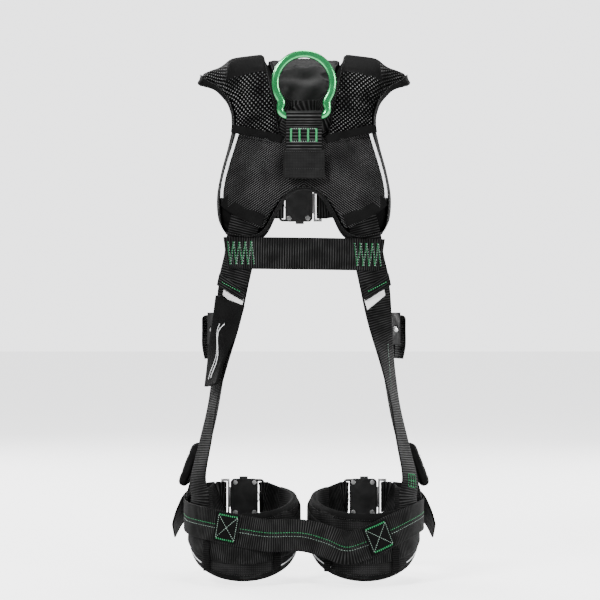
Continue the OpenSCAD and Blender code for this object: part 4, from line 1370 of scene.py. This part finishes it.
def softened(node, material, slot, body="harness", bevel=0.45):
    """A CAD part with its sharp edges eased, as a formed or moulded one has."""
    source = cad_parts[node]
    obj = bpy.data.objects.new(node + "_eased", source.data.copy())
    linked(obj)
    obj.matrix_world = source.matrix_world.copy()
    shape = bmesh.new()
    shape.from_mesh(obj.data)
    bmesh.ops.remove_doubles(shape, verts=shape.verts, dist=0.00002)
    flat = math.radians(1.5)
    bmesh.ops.dissolve_limit(shape, angle_limit=flat, verts=shape.verts, edges=shape.edges)
    shape.to_mesh(obj.data)
    shape.free()
    ease = obj.modifiers.new("ease", "BEVEL")
    ease.width = bevel * MM
    ease.segments = 3
    ease.limit_method = "ANGLE"
    ease.angle_limit = math.radians(35)
    ease.use_clamp_overlap = True
    apply_modifiers(obj)
    obj.data.materials.clear()
    obj.data.materials.append(material)
    for poly in obj.data.polygons:
        poly.material_index = 0
        poly.use_smooth = True
    obj.data.set_sharp_from_angle(angle=math.radians(40))
    return part(obj, slot, body)


def buckles():
    plates = ("buckle_base", "buckle_cover")
    for which in ("chest", "left", "right"):

        def named(what):
            return "chest_" + what if which == "chest" else "leg_" + what + "_" + which

        for what in plates:
            softened(named(what), BLACK_PLATE, "black_plate")
        softened(named("buckle_rivets"), BARE_STEEL, "bare_steel")
        softened(named("buckle_spring"), BARE_STEEL, "bare_steel", bevel=0.1)
        softened(named("tongue"), BARE_STEEL, "bare_steel", body=named("tongue"))
        for what in ("latch_upper", "latch_lower"):
            softened(named(what), LATCH_PLASTIC, "latch_plastic", body=named(what), bevel=0.7)
    for name in SIDES:
        softened("adjuster_frame_" + name, BLACK_PLATE, "black_plate")
        bar = "adjuster_bar_" + name
        softened(bar, BARE_STEEL, "bare_steel", body=bar)


# ---- straps on the buckles

BUCKLES = {
    "chest": ((-12, 95, -168), X),
    "left": ((-83, 87, -602), -X),
    "right": ((83, 87, -602), X),
}
TONGUE_BAR = 25 + 1.5 + 3 + 5 + 0.5
BASE_BAR = -25 + 4.5 - 0.4


def round_bar(which, u, w, r, out, run):
    """Webbing round a buckle's bar, from its outer ply to its inner one."""
    origin, way = BUCKLES[which]
    origin = np.array(origin, float)
    route = [(origin + (u + out * d) * way + (w + r) * Y, Y, 0) for d in (run, run * 0.5)]
    for k in range(9):
        a = math.radians(180 * k / 8)
        point = origin + (u - out * r * math.sin(a)) * way + (w + r * math.cos(a)) * Y
        route.append((point, math.cos(a) * Y - out * math.sin(a) * way, 0))
    return [*route, (origin + (u + out * run * 0.5) * way + (w - r) * Y, -Y, 0)]


def tongue_wrap(which):
    return round_bar(which, TONGUE_BAR, 1.8 + 3.2, 1.5 + GAP + HALF, 1, 12)


def base_wrap(which):
    return round_bar(which, BASE_BAR, 0.9, 0.9 + GAP + HALF, -1, 10)


def follows_tongue(obj):
    """Gives the strap a mesh of its own."""
    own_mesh(obj)


def chest_straps():
    out = CROSS_OFF + HALF
    for name, side in SIDES.items():
        start = tongue_wrap("chest") if side == RIGHT else base_wrap("chest")
        route = [*start, *[turned_over(on_front(side * x, -168, out)) for x in (54, 68, 82, 98)]]
        strap = Strap(route, wave=0.2)
        obj = lay("chest_strap_" + name, strap)
        if side == RIGHT:
            follows_tongue(obj)


def round_leg(side, angles):
    off = STRAP_OFF + HALF
    return [turned_over(on_thigh(side, phi, off, float(leg_height(phi)))) for phi in angles]


def leg_straps():
    for name, side in SIDES.items():
        strap = Strap([*base_wrap(name), *round_leg(side, np.linspace(230, -14, 21))], wave=0.3)
        lay("leg_strap_" + name, strap, SEAT_WEBBING)
        strap = Strap([*tongue_wrap(name), *round_leg(side, (-50, -41, -32, -24, -16))], wave=0)
        obj = lay("leg_tongue_strap_" + name, strap)
        follows_tongue(obj)
        tail = [
            free(side * 130, 104, -600, (side * 0.05, 1, 0)),
            free(side * 152, 99, -603, (side * 0.4, 0.9, 0)),
            free(side * 170, 84, -612, (side * 0.75, 0.65, 0.12)),
            free(side * 182, 66, -628, (side * 0.85, 0.45, 0.3)),
            free(side * 190, 52, -648, (side * 0.88, 0.3, 0.36)),
        ]
        strap = Strap(tail, 40, wave=0.6)
        lay("leg_strap_tail_" + name, strap, DARK_WEBBING)
        t = np.linspace(-15, 15, 14)
        line = strap.place(strap.length - 7 + 0 * t, t, 0.2)
        sew("leg_strap_tail_stitches_" + name, [line], DARK_THREAD, thread=0.8)


# ---- leg pads

PAD_FROM = -46.0
PAD_TO = 224.0
DEGREE = 1.36


def leg_pad_edge(sign):
    phi = np.linspace(PAD_FROM, PAD_TO, 28)
    k = np.sin(np.radians(phi))
    tall = 46 - np.where(k > 0, 8 * (1 - k), 8 - 18 * k)
    return np.stack([phi, leg_height(phi) + sign * tall], 1)


def leg_pads():
    for name, side in SIDES.items():
        top, bottom = leg_pad_edge(1), leg_pad_edge(-1)
        sides = [np.array([top[i], (top[i] + bottom[i]) / 2, bottom[i]]) for i in (0, -1)]

        def round_thigh(phi, z, off, side=side):
            return thigh(side, phi, off, z)

        shape = Pad(top, bottom, *sides, round_thigh, scale=DEGREE)
        top_of = crown(shape, 8.8, reach=16)
        slot = "leg_pad_fabric"
        cushion("leg_pad_" + name, shape, top_of, 0.0, LEG_CLOTH, 120, 34, slot, 0.8, cap=1.4, slack=0.03)
        names = ("leg_pad_binding_" + name, "leg_pad_stitches_" + name)
        bound(names, shape, top_of, 10.5, 8.8, slot, lift=0.9, count=420)
        for k, (a, b) in enumerate(((8, 40), (128, 160))):
            phi = np.linspace(a, b, 24)
            u = (phi - PAD_FROM) / (PAD_TO - PAD_FROM)
            tall, _ = shape.size(u, 0.5)
            v = 1 - 11.5 / tall
            line = shape.at(u, v, top_of(u, v) + 0.9)
            piping(f"leg_pad_piping_{name}_{k}", line, 1.0)


def keepers():
    for k, (side, phi, z0, z1) in enumerate(
        ((LEFT, 51, -650, -692), (LEFT, 126, -667, -692), (RIGHT, 130, -676, -693), (RIGHT, 58, -659, -694))
    ):
        route = [on_thigh(side, phi, CROSS_OFF + 0.7, z) for z in np.linspace(z0, z1, 4)]
        strap = Strap(route, 12, 1.4, wave=0.1)
        lay(f"leg_pad_keeper_{k}", strap, DARK_WEBBING)
    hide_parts("leg_pad_keepers")


# ---- pouches and labels


def relief_pouches():
    for name, side in SIDES.items():
        w = unit(np.array([side * 0.93, 0.1, 0.36]))
        u = unit(np.cross(Z, w))
        v = np.cross(w, u)
        centre = np.array([side * 163.2, 12.5, -548.0])

        def on_box(a, b, off, centre=centre, u=u, v=v, w=w):
            a, b, off = np.broadcast_arrays(a, b, np.asarray(off, float))
            return centre + a[..., None] * u + b[..., None] * v + off[..., None] * w

        edge = [(21, 30), (24, 12), (24, -12), (21, -30)]
        shape = Pad(
            [(-21, 30), (-8, 32.5), (8, 32.5), (21, 30)],
            [(-21, -30), (-8, -32.5), (8, -32.5), (21, -30)],
            [(-a, b) for a, b in edge],
            edge,
            on_box,
        )
        rounded = crown(shape, 1.0, edge=0.15, reach=11)
        faces = [lambda a, b: 5.6 * rounded(a, b), lambda a, b: -6.6 * rounded(a, b)]
        blow = {"cap": 1.6, "slack": 0.04}
        cushion("relief_pouch_" + name, shape, *faces, POUCH_CLOTH, 44, 56, "pouch_fabric", 0.7, **blow)
        across = np.linspace(-20, 20, 30)
        seam = [on_box(across, b + 0 * across, off) for b, off in ((12, 7.4), (-21, 7.2))]
        sew("relief_pouch_stitches_" + name, seam, DARK_THREAD, pitch=3, slot="pouch_fabric")


def label_pouch():
    route = [
        free(-104, -71.5, -312, (-0.5, -0.86, 0)),
        free(-111.5, -62.5, -345, (-0.66, -0.75, 0)),
        free(-121.5, -51.5, -380, (-0.84, -0.54, 0)),
        free(-127.5, -48, -410, (-0.91, -0.4, 0)),
        free(-131.5, -46.5, -432, (-0.94, -0.33, 0)),
    ]
    pouch = Strap(route, 50, 4.4, wave=0.7)
    lay("label_pouch", pouch, POUCH_CLOTH, "pouch_fabric", (0, 6))
    t = np.linspace(0, 1, 60)
    u = blend(34, 116, t)
    first = pouch.place(u, -2 + 9 * np.sin(2.2 * t * math.pi) * (1 - 0.4 * t), 0.4)
    second = pouch.place(u + 3, 3 + 6 * np.sin(2.2 * t * math.pi + 0.7), 0.4)
    piping("label_pouch_piping_a", first, 0.6)
    piping("label_pouch_piping_b", second, 0.45)


def inspection_labels():
    for name, side in SIDES.items():
        route = [
            on_back(side * 93, -289, STRAP_OFF - 0.4),
            on_back(side * 95.5, -301, STRAP_OFF - 0.2),
            free(side * 102.3, -68.6, -314.5, (side * 0.5, -0.86, 0), 0.6),
        ]
        strap = Strap(route, 34, 0.35, wave=0.2)
        lay("inspection_label_" + name, strap, LABEL, slot="label", taper=(0, side * 9))
    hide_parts("inspection_labels")


# ---- stage


# What the lights point at, and the lights: place and size in metres, and power in watts.
LIT = (0, -0.05, -0.33)
LIGHTS = {
    "key": ((-1.7, -2.3, 1.5), 0.9, 150),
    "fill": ((2.1, -2.1, 0.4), 1.0, 75),
    "top": ((0.2, 0.1, 2.0), 1.2, 90),
    "front_left": ((-1.6, 2.4, 0.9), 1.0, 95),
    "front_right": ((1.9, 2.2, 0.3), 1.0, 70),
}
WALL = (0.95, 0.95, 0.96, 1)


def area_light(name, spot, size, power):
    light = bpy.data.lights.new(name, "AREA")
    light.size = size
    light.energy = power
    obj = linked(bpy.data.objects.new(name, light))
    obj.location = spot
    way = Vector(LIT) - Vector(spot)
    obj.rotation_euler = way.to_track_quat("-Z", "Y").to_euler()


def stage():
    bpy.ops.mesh.primitive_plane_add(size=30, location=(0, 0, -0.7125))
    floor = bpy.context.object
    floor.name = "floor"
    floor.data.materials.append(floor_look("floor"))
    world = bpy.data.worlds.new("studio")
    bpy.context.scene.world = world
    world.use_nodes = True
    nodes = world.node_tree.nodes
    links = world.node_tree.links
    sky = next(n for n in nodes if n.type == "BACKGROUND")
    sky.inputs[0].default_value = (0.93, 0.94, 0.95, 1)
    sky.inputs[1].default_value = 0.32
    wall = nodes.new("ShaderNodeBackground")
    wall.inputs[0].default_value = WALL
    wall.inputs[1].default_value = 3.0
    seen = nodes.new("ShaderNodeLightPath")
    either = nodes.new("ShaderNodeMixShader")
    links.new(seen.outputs["Is Camera Ray"], either.inputs[0])
    links.new(sky.outputs[0], either.inputs[1])
    links.new(wall.outputs[0], either.inputs[2])
    links.new(either.outputs[0], next(n for n in nodes if n.type == "OUTPUT_WORLD").inputs[0])
    for name, light in LIGHTS.items():
        area_light(name, *light)


def camera():
    lens = bpy.data.cameras.new("camera")
    lens.lens = 141.4
    lens.sensor_width = 36
    obj = linked(bpy.data.objects.new("camera", lens))
    obj.location = (-0.0056, -3.39, -0.311)
    obj.rotation_euler = (math.radians(90), 0, 0)
    bpy.context.scene.camera = obj


back_panel()
for side_name, side_sign in SIDES.items():
    shoulder(side_name, side_sign)
dorsal_panel()
reflective_strips()
shoulder_straps()
back_strap()
side_straps()
front_straps()
seat_strap()
seat_patches()
dorsal_ring()
dorsal_loop()
keeper_flap()
buckles()
chest_straps()
leg_straps()
leg_pads()
keepers()
relief_pouches()
label_pouch()
inspection_labels()
stage()
camera()
